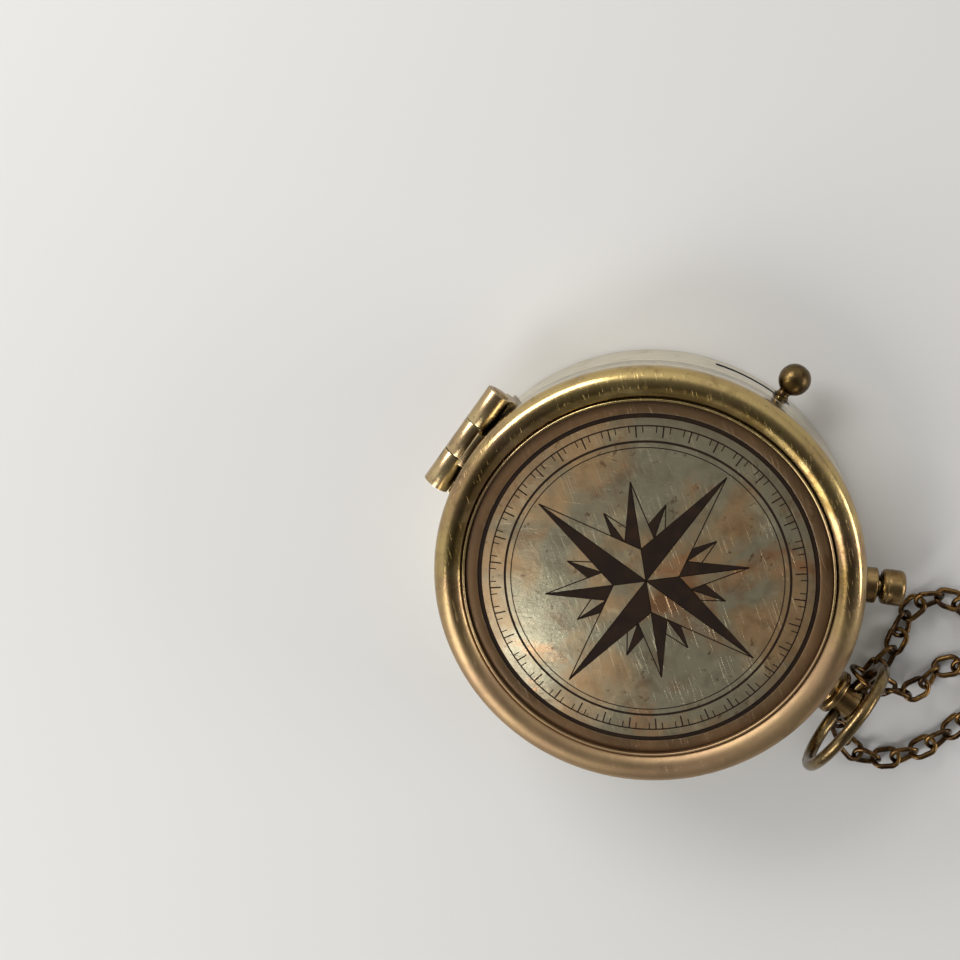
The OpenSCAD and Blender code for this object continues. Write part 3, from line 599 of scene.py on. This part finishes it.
glass_shader.inputs["Base Color"].default_value = paint((246, 250, 248))
glass_shader.inputs["Transmission Weight"].default_value = 1.0
glass_shader.inputs["IOR"].default_value = 1.46
print("finishes:", len(bpy.data.materials))

# %% [markdown]
# ## Solids that stay
#
# The case, the lever and the works under the dial have their right shape already. They could
# be drawn again here with finer edges, but they are hidden or plain, so each keeps its own
# solid and only takes a finish.

# %% Finish the solids that stay
finish_of = {
    "case_body": wall_brass, "back_cover": back_patina, "lid_striker": hinge_brass,
    "dial_plate": dial_enamel, "glass": window_glass, "button_bush": fitting_brass,
    "pivot_point": bright_steel, "needle_jewel": ruby, "button_spring": spring_steel,
    "jump_ring": dark_bronze, "end_ring": dark_bronze,
}
for node in ("glass_bezel", "dial_ring", "pivot_post", "lifter_sleeve", "lock_lever",
             "needle_cap", "button_stem", "catch_arm"):
    finish_of[node] = inner_brass
for node, material in finish_of.items():
    nodes[node].data.materials.clear()
    nodes[node].data.materials.append(material)
print("kept solids:", len(finish_of))

# %% [markdown]
# ## Turned pieces
#
# Nearly everything on a compass comes off a lathe. Cylinders could be stacked and joined, but
# the main tool here is a spin, as on the real lathe: half of a piece's outline is drawn as a
# few points, the distance from the axis and the height, and is turned once round. Edges that
# meet sharply get a small bevel, as a file or a polishing wheel would leave them.


# %% Lathe
def turned(outline, closed=True, place=None, steps=160, bevel=0.0, segments=2, sharp=30):
    """A bmesh turned from an outline of (radius, height) points in millimetres."""
    bm = bmesh.new()
    verts = [bm.verts.new((r * mm, 0, h * mm)) for r, h in outline]
    ends = verts[1:] + (verts[:1] if closed else [])
    edges = [bm.edges.new(pair) for pair in zip(verts, ends)]
    bmesh.ops.spin(bm, geom=verts + edges, cent=(0, 0, 0), axis=(0, 0, 1), dvec=(0, 0, 0),
                   angle=2 * math.pi, steps=steps, use_merge=True, use_duplicate=False)
    bmesh.ops.remove_doubles(bm, verts=bm.verts, dist=1e-7)
    bmesh.ops.recalc_face_normals(bm, faces=bm.faces)
    if bevel:
        soften(bm, bevel, segments, sharp)
    if place is not None:
        bmesh.ops.transform(bm, matrix=place, verts=bm.verts)
    return bm


def soften(bm, width, segments=2, sharp=30):
    """Bevels every edge that is sharper than the given angle."""
    hard = [e for e in bm.edges
            if len(e.link_faces) == 2 and e.calc_face_angle(0) > math.radians(sharp)]
    bmesh.ops.bevel(bm, geom=hard, offset=width * mm, offset_type="OFFSET", segments=segments,
                    profile=0.5, affect="EDGES", clamp_overlap=True, material=-1)


# %% Outlines and places
def rotated(degrees, axis):
    return Matrix.Rotation(math.radians(degrees), 4, axis)


def shifted(x, y, z):
    """A move in millimetres."""
    return Matrix.Translation((x * mm, y * mm, z * mm))


def curve_points(cx, cy, radius, from_angle, to_angle, count):
    """Points on an arc of an outline, angles in degrees."""
    step = (to_angle - from_angle) / count
    return [(cx + radius * math.cos(math.radians(from_angle + step * k)),
             cy + radius * math.sin(math.radians(from_angle + step * k)))
            for k in range(count + 1)]


def outward(angle, height):
    """Places a turned piece on a line that leaves the case sideways at an angle."""
    return rotated(angle, "Z") @ shifted(0, 0, height) @ rotated(90, "Y")


# %% A finished piece
def piece(name, bm, material, body, replaced=(), smooth=40):
    """Makes the finished piece: one mesh with its place in it, riding on a body."""
    for edge in bm.edges:
        edge.smooth = not (len(edge.link_faces) == 2
                           and edge.calc_face_angle(0) > math.radians(smooth))
    for face in bm.faces:
        face.smooth = True
    mesh = bpy.data.meshes.new(name)
    bm.to_mesh(mesh)
    bm.free()
    mesh.materials.append(material)
    made = add(name, mesh)
    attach(made, body)
    if replaced:
        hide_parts(*replaced)
    print(f"{name}: {len(mesh.polygons)} faces on {body}")
    return made


# %% Carving
along_x = rotated(90, "Y")


def cross_rod(radius, length, y, z, segments):
    """A round cutter that lies along X."""
    rod = bmesh.new()
    bmesh.ops.create_cone(rod, cap_ends=True, segments=segments, radius1=radius * mm,
                          radius2=radius * mm, depth=length * mm,
                          matrix=shifted(0, y, z) @ along_x)
    return rod


def as_seen(thing):
    """A bmesh of an object as Blender shows it: a text as a mesh, or with its modifiers."""
    bpy.context.view_layer.update()
    seen = thing.evaluated_get(bpy.context.evaluated_depsgraph_get())
    bm = bmesh.new()
    bm.from_mesh(seen.to_mesh())
    seen.to_mesh_clear()
    return bm


def carved(bm, cutter):
    """Takes a cutter's shape out of a bmesh with a Boolean and returns the result."""
    def holder(label, shape):
        mesh = bpy.data.meshes.new(label)
        shape.to_mesh(mesh)
        shape.free()
        return add(label, mesh)
    work, tool = holder("carve_work", bm), holder("carve_tool", cutter)
    step = work.modifiers.new("cut", "BOOLEAN")
    step.operation, step.solver, step.object = "DIFFERENCE", "EXACT", tool
    result = as_seen(work)
    for thing in (work, tool):
        mesh = thing.data
        bpy.data.objects.remove(thing)
        bpy.data.meshes.remove(mesh)
    return result


# %% [markdown]
# ## The lid's rim
#
# A half-round tube of brass runs round the lid. Its inner edge stands up as a fine lip that
# catches the light, and behind the lip a step carries the plate. Below the tube the wall runs
# straight down to the parting line. A torus joined to a ring would leave a seam, so the whole
# section is one outline, turned once. The hinge's knuckles need room: a Boolean takes out the
# trough where they pass, since a spin makes only round shapes.

# %% Lid rim
case_r, lid_low, lid_in_r = 32.0, 11.4, 30.2
tube_r, tube_mid, tube_z = 2.45, 29.55, 17.05
plate_r, plate_low, plate_top = 27.1, 17.0, 18.2
lip_out, lip_top = 27.5, 18.75
hinge_y, hinge_z, hinge_half, hinge_room_r = 33.7, 11.5, 8.65, 2.22
ledge_in, ledge_low = plate_r - 1.5, plate_low - 0.8
lip_angle = 180 - math.degrees(math.acos((tube_mid - lip_out) / tube_r))
rim_outline = (
    [(lid_in_r, lid_low), (case_r, lid_low)]
    + curve_points(tube_mid, tube_z, tube_r, 0, lip_angle, 22)
    + curve_points((lip_out + plate_r) / 2, lip_top, (lip_out - plate_r) / 2, 0, 180, 8)
    + [(plate_r, plate_low), (ledge_in, plate_low), (ledge_in, ledge_low),
       (lid_in_r, ledge_low)])
rim_bm = turned(rim_outline, steps=240, bevel=0.09, sharp=35)
hinge_room = cross_rod(hinge_room_r, 2 * hinge_half + 0.24, hinge_y, hinge_z, 48)
piece("lid_rim_band", carved(rim_bm, hinge_room), rim_brass, "lid", ["lid_rim"])

# %% [markdown]
# ## The lid's plate
#
# The plate is a flat disc let into the rim. A groove is turned near its edge and filled with
# dark wax. Inside it sits an old compass rose, etched and blackened: sixteen points, a ring of
# marks and plain circles. A pattern of nodes could draw it, but its edges would blur when the
# model leaves Blender. So it is drawn as thin inlays that stand a hair above the plate, each
# made once and set out round the middle as copies.

# %% Plate with its groove
groove_in, groove_out, groove_deep = 24.575, 25.225, 0.35
plate_outline = [(0, plate_low), (plate_r - 0.05, plate_low), (plate_r - 0.05, plate_top),
                 (groove_out, plate_top), (groove_out, plate_top - groove_deep),
                 (groove_in, plate_top - groove_deep), (groove_in, plate_top), (0, plate_top)]
piece("lid_plate_disc", turned(plate_outline, closed=False, steps=200, bevel=0.06),
      plate_patina, "lid", ["lid_plate"])
wax_in, wax_out = groove_in + 0.01, groove_out - 0.01
wax_low, wax_top = plate_top - 0.3, plate_top - 0.16
wax_outline = [(wax_in, wax_low), (wax_out, wax_low), (wax_out, wax_top), (wax_in, wax_top)]
piece("lid_groove_wax", turned(wax_outline, steps=160), etched_ink, "lid")


# %% Inlay tools
def join(bm, other):
    """Adds a second bmesh to the first and frees it."""
    mesh = bpy.data.meshes.new("joined")
    other.to_mesh(mesh)
    other.free()
    bm.from_mesh(mesh)
    bpy.data.meshes.remove(mesh)


def flat_ring(bm, inner, outer, low, high):
    join(bm, turned([(inner, low), (outer, low), (outer, high), (inner, high)], steps=128))


def copies_round(bm, corners, low, high, count, offset=0.0):
    """A flat shape of given corners, raised from low to high and set out round the middle."""
    one = bmesh.new()
    face = one.faces.new([one.verts.new((x * mm, y * mm, low * mm)) for x, y in corners])
    raised = bmesh.ops.extrude_face_region(one, geom=[face])["geom"]
    tops = [g for g in raised if isinstance(g, bmesh.types.BMVert)]
    bmesh.ops.translate(one, vec=(0, 0, (high - low) * mm), verts=tops)
    bmesh.ops.recalc_face_normals(one, faces=one.faces)
    bmesh.ops.rotate(one, cent=(0, 0, 0), matrix=Matrix.Rotation(math.radians(offset), 3, "Z"),
                     verts=one.verts)
    for k in range(count):
        part = one.copy()
        bmesh.ops.rotate(part, cent=(0, 0, 0), verts=part.verts,
                         matrix=Matrix.Rotation(2 * math.pi * k / count, 3, "Z"))
        join(bm, part)
    one.free()


# %% Flat shapes
def mark(width, inner, outer):
    """A short stroke that points away from the middle."""
    return [(inner, -width / 2), (outer, -width / 2), (outer, width / 2), (inner, width / 2)]


def spoke(radius, degrees):
    """The point at a distance from the middle, on the ray at an angle."""
    return (radius * math.cos(math.radians(degrees)), radius * math.sin(math.radians(degrees)))


def meeting(first, second, degrees):
    """Where the line through two points crosses the ray at an angle."""
    (x0, y0), (x1, y1) = first, second
    nx, ny = -math.sin(math.radians(degrees)), math.cos(math.radians(degrees))
    share = (x0 * nx + y0 * ny) / ((x0 - x1) * nx + (y0 - y1) * ny)
    return (x0 + share * (x1 - x0), y0 + share * (y1 - y0))


def outline_strokes(corners, width):
    """Thin strokes along the sides of a shape, as corner lists."""
    strokes = []
    for (x0, y0), (x1, y1) in zip(corners, corners[1:] + corners[:1]):
        length = math.hypot(x1 - x0, y1 - y0)
        nx, ny = (y1 - y0) / length * width / 2, -(x1 - x0) / length * width / 2
        strokes.append([(x0 + nx, y0 + ny), (x1 + nx, y1 + ny), (x1 - nx, y1 - ny),
                        (x0 - nx, y0 - ny)])
    return strokes


# %% Compass rose
hair = 0.004


def rose(bm, low, high, stroke, long_tip, mid_tip, short_tip, waist, base=26, foot=34):
    """A compass rose of sixteen points; each point has a dark half and one in outline.

    The shapes stand behind one another without overlap: four long points meet at the waists,
    four middle ones start from the long ones' sides, and eight short ones fill the corners.
    Tips and waist are distances from the middle; base and foot are angles where points begin.
    """
    for side in (1, -1):
        tip, notch = spoke(long_tip, 0), spoke(waist, 45 * side)
        root = meeting(tip, notch, base * side)
        corner = meeting(root, spoke(mid_tip, 45 * side), foot * side)
        on_long = meeting(tip, notch, (base - 9) * side)
        peak = spoke(short_tip, 22.5 * side)
        shapes = [([(0, 0), notch, tip], side > 0),
                  ([notch, root, spoke(mid_tip, 45 * side)], side < 0),
                  ([root, on_long, peak], side < 0),
                  ([root, corner, peak], side > 0)]
        for corners, dark in shapes:
            if dark:
                copies_round(bm, corners, low, high, 4)
            for stripe in outline_strokes(corners, stroke):
                copies_round(bm, stripe, low, high - hair, 4)


# %% Rose on the lid
inlay_low, inlay_high = plate_top - 0.05, plate_top + 0.012
lid_rose = bmesh.new()
rose(lid_rose, inlay_low, inlay_high, stroke=0.17, long_tip=19.6, mid_tip=15.2,
     short_tip=12.0, waist=4.9)
for radius, width in ((20.1, 0.14), (20.9, 0.34), (23.3, 0.2)):
    flat_ring(lid_rose, radius, radius + width, inlay_low, inlay_high)
marks_out, long_mark_in, short_mark_in = 23.35, 21.7, 22.4
copies_round(lid_rose, mark(0.2, long_mark_in, marks_out), inlay_low, inlay_high, 36)
copies_round(lid_rose, mark(0.14, short_mark_in, marks_out), inlay_low, inlay_high, 72, 2.5)
piece("lid_rose_inlay", lid_rose, etched_ink, "lid", smooth=20)

# %% [markdown]
# ## The dial
#
# Under the glass lies a cream dial. It is printed with a ring of degrees, numbers every
# thirty, the four letters of the winds and a rose. A picture of a dial would be the quick way,
# but here every stroke is a thin raised shape: the numbers and letters are text objects turned
# into meshes, so that they leave with the model.

# %% Lettering
dial_top, letter_depth = 7.45, 0.008
print_z = dial_top + 0.012
letter_at, letter_size, number_at, number_size = 16.3, 4.2, 20.7, 2.0


def lettering(words, size, place):
    """A word as a thin mesh, centred, then put in its place."""
    data = bpy.data.curves.new("words", "FONT")
    data.body = words
    data.size = size * mm
    data.extrude = letter_depth * mm
    data.align_x = data.align_y = "CENTER"
    data.resolution_u = 3
    word = add("words", data)
    bm = as_seen(word)
    bmesh.ops.transform(bm, matrix=place, verts=bm.verts)
    bpy.data.objects.remove(word)
    bpy.data.curves.remove(data)
    return bm


def on_dial(words, bearing, radius, size):
    """Upright on the dial's rim, read from the outside edge; bearing 0 is north, at +Y."""
    return lettering(words, size, rotated(-bearing, "Z") @ shifted(0, radius, print_z))


# %% Dial printing
print_low, print_high = dial_top - 0.02, dial_top + 0.02
dial_print = bmesh.new()
for radius, width in ((24.55, 0.3), (22.3, 0.12), (19.1, 0.12)):
    flat_ring(dial_print, radius - width, radius, print_low, print_high)
copies_round(dial_print, mark(0.1, 23.3, 24.4), print_low, print_high, 180)
copies_round(dial_print, mark(0.22, 22.4, 24.4), print_low, print_high, 36)
rose(dial_print, print_low, print_high, stroke=0.1, long_tip=12.8, mid_tip=10.0,
     short_tip=7.8, waist=3.2)
for degrees in range(0, 360, 30):
    join(dial_print, on_dial(str(degrees), degrees, number_at, number_size))
for letter, bearing in (("E", 90), ("S", 180), ("W", 270)):
    join(dial_print, on_dial(letter, bearing, letter_at, letter_size))
piece("dial_printing", dial_print, dark_ink, "case", smooth=20)
piece("dial_north", on_dial("N", 0, letter_at, letter_size), red_ink, "case",
      smooth=20)

# %% [markdown]
# ## The needle
#
# The needle is a long thin diamond with a ridge down its middle. One half is blued and the
# other is left bright, which tells north from south. One mesh with two materials would do, but
# two halves on the same pivot keep one finish each. A half is only five points, so its faces
# are named one by one. A small bright hub with a hole for the cap joins them.

# %% Needle halves
needle_reach, needle_half_w, needle_low, needle_top = 21.5, 2.3, 8.1, 8.4


def needle_half(name, side, material):
    """One half of the diamond; side is 1 for north and -1 for south."""
    edge_z = (needle_low + 0.1) * mm
    bm = bmesh.new()
    tip = bm.verts.new((0, side * needle_reach * mm, edge_z))
    left = bm.verts.new((-needle_half_w * mm, 0, edge_z))
    right = bm.verts.new((needle_half_w * mm, 0, edge_z))
    ridge = bm.verts.new((0, 0, needle_top * mm))
    floor = bm.verts.new((0, 0, needle_low * mm))
    for corners in ((tip, left, ridge), (tip, ridge, right), (tip, right, floor),
                    (tip, floor, left), (left, floor, right, ridge)):
        bm.faces.new(corners)
    bmesh.ops.recalc_face_normals(bm, faces=bm.faces)
    soften(bm, 0.03, 1)
    piece(name, bm, material, "needle", smooth=25)


needle_half("needle_north", 1, blued_steel)
needle_half("needle_south", -1, bright_steel)
hub_in, hub_out = 1.5, 2.9
hub = turned([(hub_in, needle_low), (hub_out, needle_low), (hub_out, needle_top),
              (hub_in, needle_top)], steps=64, bevel=0.05)
piece("needle_hub", hub, bright_steel, "needle", ["needle"])

# %% [markdown]
# ## The push button
#
# The button works the catch. A turned disc sits on the wall; beyond a dark gap comes the head,
# a short barrel with well rounded ends and a fine line round it. A bevelled cylinder would come
# close, but an outline also gives the line and the recess at the back, where the button's
# spring ends.

# %% Button head
fitting_z, button_angle = 5.8, 300
head = ([(0, 38.0), (1.0, 38.0), (1.0, 36.1), (1.92, 36.1), (1.92, 35.4)]
        + curve_points(2.0, 36.1, 0.7, -90, 0, 6) + [(2.75, 36.3), (2.68, 36.42), (2.75, 36.54)]
        + curve_points(1.85, 38.1, 0.9, 0, 90, 7) + [(0, 39.0)])
piece("button_cap", turned(head, closed=False, place=outward(button_angle, fitting_z), steps=72,
                           bevel=0.05, sharp=40),
      fitting_brass, "button", ["button_head"])

# %% [markdown]
# ## Pendant and bow
#
# The pendant is turned in steps: a flange on the wall, a waist, a collar, the neck that the
# bow passes through, and an end with raised rings. The hole for the bow is bored with a
# Boolean. The bow is a ring of wire, worn a little flat on its faces, so it is turned from a
# section of its own and not made as a plain torus.

# %% Pendant
collar = ([(1.5, 32.0), (3.2, 32.0)] + curve_points(3.0, 32.6, 0.2, 0, 90, 3)
          + [(2.5, 33.0), (2.3, 34.0), (2.5, 35.0), (2.9, 35.2)]
          + curve_points(3.25, 35.55, 0.35, -90, 0, 4)
          + curve_points(3.25, 36.05, 0.35, 0, 90, 4) + [(1.5, 36.4)])
piece("pendant_ring", turned(collar, place=outward(-90, fitting_z), steps=96),
      fitting_brass, "case", ["pendant_collar"])
post = ([(0, 28.6), (1.5, 28.6), (1.5, 36.4), (2.5, 36.4), (2.5, 39.2), (2.75, 39.3)]
        + curve_points(2.8, 39.6, 0.25, -90, 90, 6) + [(2.72, 39.95)]
        + curve_points(2.72, 40.28, 0.3, -90, 90, 6) + [(2.5, 40.66)]
        + curve_points(2.3, 40.95, 0.28, -90, 60, 6) + [(1.6, 41.5), (0, 41.6)])
bow_y, bow_hole_r = -38.0, 1.23
post_bm = turned(post, closed=False, place=outward(-90, fitting_z), steps=96)
bow_hole = cross_rod(bow_hole_r, 12, bow_y, fitting_z, 40)
piece("pendant_stem", carved(post_bm, bow_hole), fitting_brass, "case",
      ["pendant_post"])

# %% Bow
bow_mid_r, bow_reach, bow_lean = 9.0, 8.8226, 7.0
bow_half_w, bow_half_t, bow_worn = 0.98, 0.9, 0.06
bow_section = [(bow_mid_r + bow_half_w * math.cos(a) * (1 - bow_worn * math.cos(2 * a)),
                bow_half_t * math.sin(a)) for a in (2 * math.pi * k / 20 for k in range(20))]
stand = (shifted(0, bow_y, fitting_z) @ rotated(-90 - bow_lean, "X")
         @ shifted(0, -bow_reach, 0))
piece("bow_wire", turned(bow_section, place=stand, steps=128), bow_brass, "bow",
      ["bow_ring"])

# %% [markdown]
# ## The lever's ball
#
# The lever that locks the needle ends in a ball on a short neck. A ready-made sphere would be
# too perfect: this one is turned from an arc that stops short, so its outer end is worn flat,
# and the same outline gives the foot and the waist of the neck.

# %% Ball
ball = ([(0.57, 32.15), (1.25, 32.15), (1.3, 32.3), (1.0, 32.55), (0.9, 32.9), (0.98, 33.15)]
        + curve_points(0, 35.4, 2.42, -68, 68, 26) + [(0.45, 37.74), (0, 37.8)])
piece("lever_ball", turned(ball, closed=False, place=outward(knob_at, slot_z), steps=72),
      ball_bronze, "lever", ["lock_knob"])

# %% [markdown]
# ## The hinge
#
# Each leaf is bent from sheet, and its knuckles are curled round the pin. Their shape could be
# built anew, but it is in the solids already. So a copy of each leaf's solid is cleaned and
# every hard edge is filed round. That opens a small V between two knuckles, where dirt collects
# and the corner mask also paints shade.


# %% Hinge leaves
def filed(node, width):
    """A copy of a node's solid, with its flat faces made whole and its hard edges bevelled."""
    bm = bmesh.new()
    bm.from_mesh(nodes[node].data)
    bmesh.ops.remove_doubles(bm, verts=bm.verts, dist=1e-7)
    bmesh.ops.dissolve_limit(bm, angle_limit=math.radians(2), verts=bm.verts, edges=bm.edges)
    soften(bm, width, segments=2, sharp=50)
    bmesh.ops.triangulate(bm, faces=[f for f in bm.faces if len(f.verts) > 4])
    return bm


piece("case_leaf", filed("case_hinge_leaf", 0.2), hinge_brass, "case",
      ["case_hinge_leaf"], smooth=30)
piece("lid_leaf", filed("lid_hinge_leaf", 0.2), hinge_brass, "lid",
      ["lid_hinge_leaf"], smooth=30)

# %% [markdown]
# ## The hinge's pin
#
# The pin runs along X through all the knuckles. Each end is riveted over into a low dome, and
# the end that shows has a fine turned ring. Like the other round pieces it is one outline, here
# turned upright and then laid along X.

# %% Hinge pin
plain_end = [(0, -8.95), (0.95, -8.95), (1.3, -8.85), (1.45, -8.68), (1.45, -hinge_half)]
ringed_end = [(1.45, hinge_half), (1.45, 8.68), (1.3, 8.85), (1.0, 8.93), (0.85, 8.86),
              (0.72, 8.95), (0, 8.95)]
pin = plain_end + [(1.0, -hinge_half), (1.0, hinge_half)] + ringed_end
piece("hinge_rivet", turned(pin, closed=False, place=shifted(0, hinge_y, hinge_z) @ along_x,
                            steps=48), hinge_brass, "case", ["hinge_pin"])

# %% [markdown]
# ## The chain
#
# The chain is a curb chain: long links, each a little twisted, so that they lie nearly flat.
# An Array with a Curve modifier could lay them out, but it bends every link with the curve,
# and a real link is stiff. So one link is made and copied along the chain's route, each copy
# whole. The route is a list of stretches, each with its length and the angle it turns by. The
# first links hang from the jump ring beside the bow and come down to the table, and every
# second link leans the other way.

# %% One link
wire, link_len, link_w, pitch = 0.68, 4.76, 3.46, 3.0
link_r, link_half = (link_w - wire) / 2, (link_len - wire) / 2
flat_share, side_swell, link_twist = 0.9, 0.28, 16


def one_link():
    """Its wire is thicker along the sides than at the ends, which rub on the next links."""
    section = [(link_r + wire / 2 * math.cos(a), flat_share * wire / 2 * math.sin(a))
               for a in (2 * math.pi * k / 10 for k in range(10))]
    bm = turned(section, steps=26)
    for vert in bm.verts:
        out = Vector((vert.co.x, vert.co.y, 0))
        spine = out.normalized() * link_r * mm
        swell = 1 + side_swell * abs(spine.y) / (link_r * mm)
        vert.co = spine + (vert.co - spine) * swell
        vert.co.x += math.copysign((link_half - link_r) * mm, vert.co.x)
        lean = math.radians(link_twist) * vert.co.x / (link_half * mm)
        vert.co = Matrix.Rotation(lean, 4, "X") @ vert.co
    return bm


# %% Route
jump_at, jump_r, jump_wire = Vector((4.7, -38.45, 6.0)), 3.0, 0.72
hang_clear, table_clear, first_gap = 0.05, 0.06, 2.4
pull, roll_full, settle = 34, 36, 4  # the first link's dip, the links' lean, links in the air
# Each stretch: its length in pitches of the chain, and how far it turns to the left.
stretches = [(0.17, 0), (2.5, 94), (4.73, -186), (3.33, -20), (2.33, -26), (4.47, -130),
             (2.67, -4), (2.33, 24), (0.33, 0), (4.33, -134), (2.67, 10), (2.33, 60),
             (2.67, 0), (4.8, -138), (4.67, 0), (4.8, 180), (7.33, 0), (4.8, -180), (6.67, 0)]
reach = jump_r - (jump_wire + wire) / 2 - hang_clear + link_half
lie_z = link_r * math.sin(math.radians(roll_full)) + wire / 2 + table_clear
start_z = jump_at.z - reach * math.sin(math.radians(pull))
print("route:", round(sum(length for length, _ in stretches) * pitch, 1), "mm")


def walk(way):
    """The place on the table and the heading, in degrees, after a way in millimetres."""
    x, y = jump_at.x, jump_at.y - reach * math.cos(math.radians(pull))
    heading = -90.0
    for length, turn_by in stretches:
        length *= pitch
        part = min(way, length)
        if turn_by:
            radius = length / math.radians(turn_by)
            bent = heading + turn_by * part / length
            x += radius * (math.sin(math.radians(bent)) - math.sin(math.radians(heading)))
            y += radius * (math.cos(math.radians(heading)) - math.cos(math.radians(bent)))
            heading = bent
        else:
            x += part * math.cos(math.radians(heading))
            y += part * math.sin(math.radians(heading))
        way -= part
        if way <= 0:
            return x, y, heading
    return (x + way * math.cos(math.radians(heading)), y + way * math.sin(math.radians(heading)),
            heading)


# %% Where a link lies
link_lift = 0.12  # room below for the thicker sides of the link


def way_to(k):
    return 0 if k == 0 else first_gap + (k - 1) * pitch


def settled(k):
    """0 for the first link, which hangs, and 1 for a link that lies on the table."""
    return min(1, k / settle)


def height_of(k):
    return lie_z + (start_z - lie_z) * (1 - settled(k)) ** 1.5


def link_place(k):
    """Each link leans to the other side than its neighbours, more so as it settles."""
    x, y, heading = walk(way_to(k))
    roll = 90 - (90 - roll_full) * settled(k) if k % 2 else -roll_full * settled(k)
    drop = height_of(max(1, k - 1)) - height_of(k + 1)
    tilt = pull if k == 0 else math.degrees(math.atan(drop / (pitch if k == 1 else 2 * pitch)))
    lift = link_lift * settled(k)
    return (shifted(x, y, height_of(k) + lift) @ rotated(heading, "Z") @ rotated(tilt, "Y")
            @ rotated(roll, "X"))


# %% Chain pieces
def chain_piece(name, first, last, node):
    """The links from first up to, but without, last as one piece."""
    link = one_link()
    chain = bmesh.new()
    for k in range(first, last):
        copy = link.copy()
        bmesh.ops.transform(copy, matrix=link_place(k), verts=copy.verts)
        join(chain, copy)
    link.free()
    piece(name, chain, dark_bronze, "case", [node], smooth=60)


links_in_all = 71
chain_piece("chain_from_bow", 0, 11, "chain_lead")
chain_piece("chain_round_pendant", 11, 22, "chain_loop")
chain_piece("chain_on_table", 22, links_in_all, "chain_run")

# %% [markdown]
# ## The chain's far end
#
# The last link holds a small round ring, and the ring holds the eye of a bar that is pushed
# through a buttonhole. The bar is thickest at the eye, thins towards its ends and has a round
# knob on each. It is turned as one outline along its length. The eye's place follows from the
# route's end, so that the ring still passes through both if the chain is laid another way.

# %% Where the bar lies
end_r, end_wire, end_hang, bar_hang = 1.9, 0.55, 0.2, 0.15
eye_r, eye_wire, knob_r, bar_len, bar_d = 1.9, 0.9, 1.7, 22, 2.2
end_z, bar_z = end_r + end_wire / 2 + table_clear, knob_r + table_clear
end_room = end_r - (end_wire + wire) / 2 - end_hang
end_reach = math.sqrt(end_room ** 2 - (end_z - lie_z) ** 2)
end_x, end_y, end_heading = walk(way_to(links_in_all - 1) + link_half + end_reach)
eye_x = (math.sqrt(end_r ** 2 - (end_z - bar_z) ** 2) - (end_wire + eye_wire) / 2 - bar_hang
         + eye_r)
bar_x = eye_x + eye_r + bar_d / 2 - 0.1
bar_place = shifted(end_x, end_y, bar_z) @ rotated(end_heading, "Z")
print("bar at", round(end_x, 1), round(end_y, 1), "mm")

# %% Bar
eye = turned(curve_points(eye_r, 0, eye_wire / 2, 0, 360, 14)[:-1],
             place=bar_place @ shifted(eye_x, 0, 0), steps=48)
half_len = bar_len / 2
knob = curve_points(0, half_len, knob_r, -58, 90, 14)
rod_half = [(1.1, 1.2), (1.02, 2), (0.84, 6), (0.86, half_len - 2.3), (0.95, half_len - 2.0),
            (0.86, half_len - 1.75)] + knob[:-1] + [(0, half_len + knob_r)]
rod = [(r, -h) for r, h in reversed(rod_half)] + rod_half
bar_bm = turned(rod, closed=False, steps=40,
                place=bar_place @ shifted(bar_x, 0, 0) @ rotated(-90, "X"))
join(bar_bm, eye)
piece("toggle_bar", bar_bm, dark_bronze, "case", ["bar"])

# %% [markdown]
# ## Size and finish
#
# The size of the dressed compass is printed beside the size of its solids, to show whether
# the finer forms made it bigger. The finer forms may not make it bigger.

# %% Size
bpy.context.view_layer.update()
for label, box in (("solids", cad_box), ("dressed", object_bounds())):
    print(label, [[round(value / mm, 2) for value in corner] for corner in box])
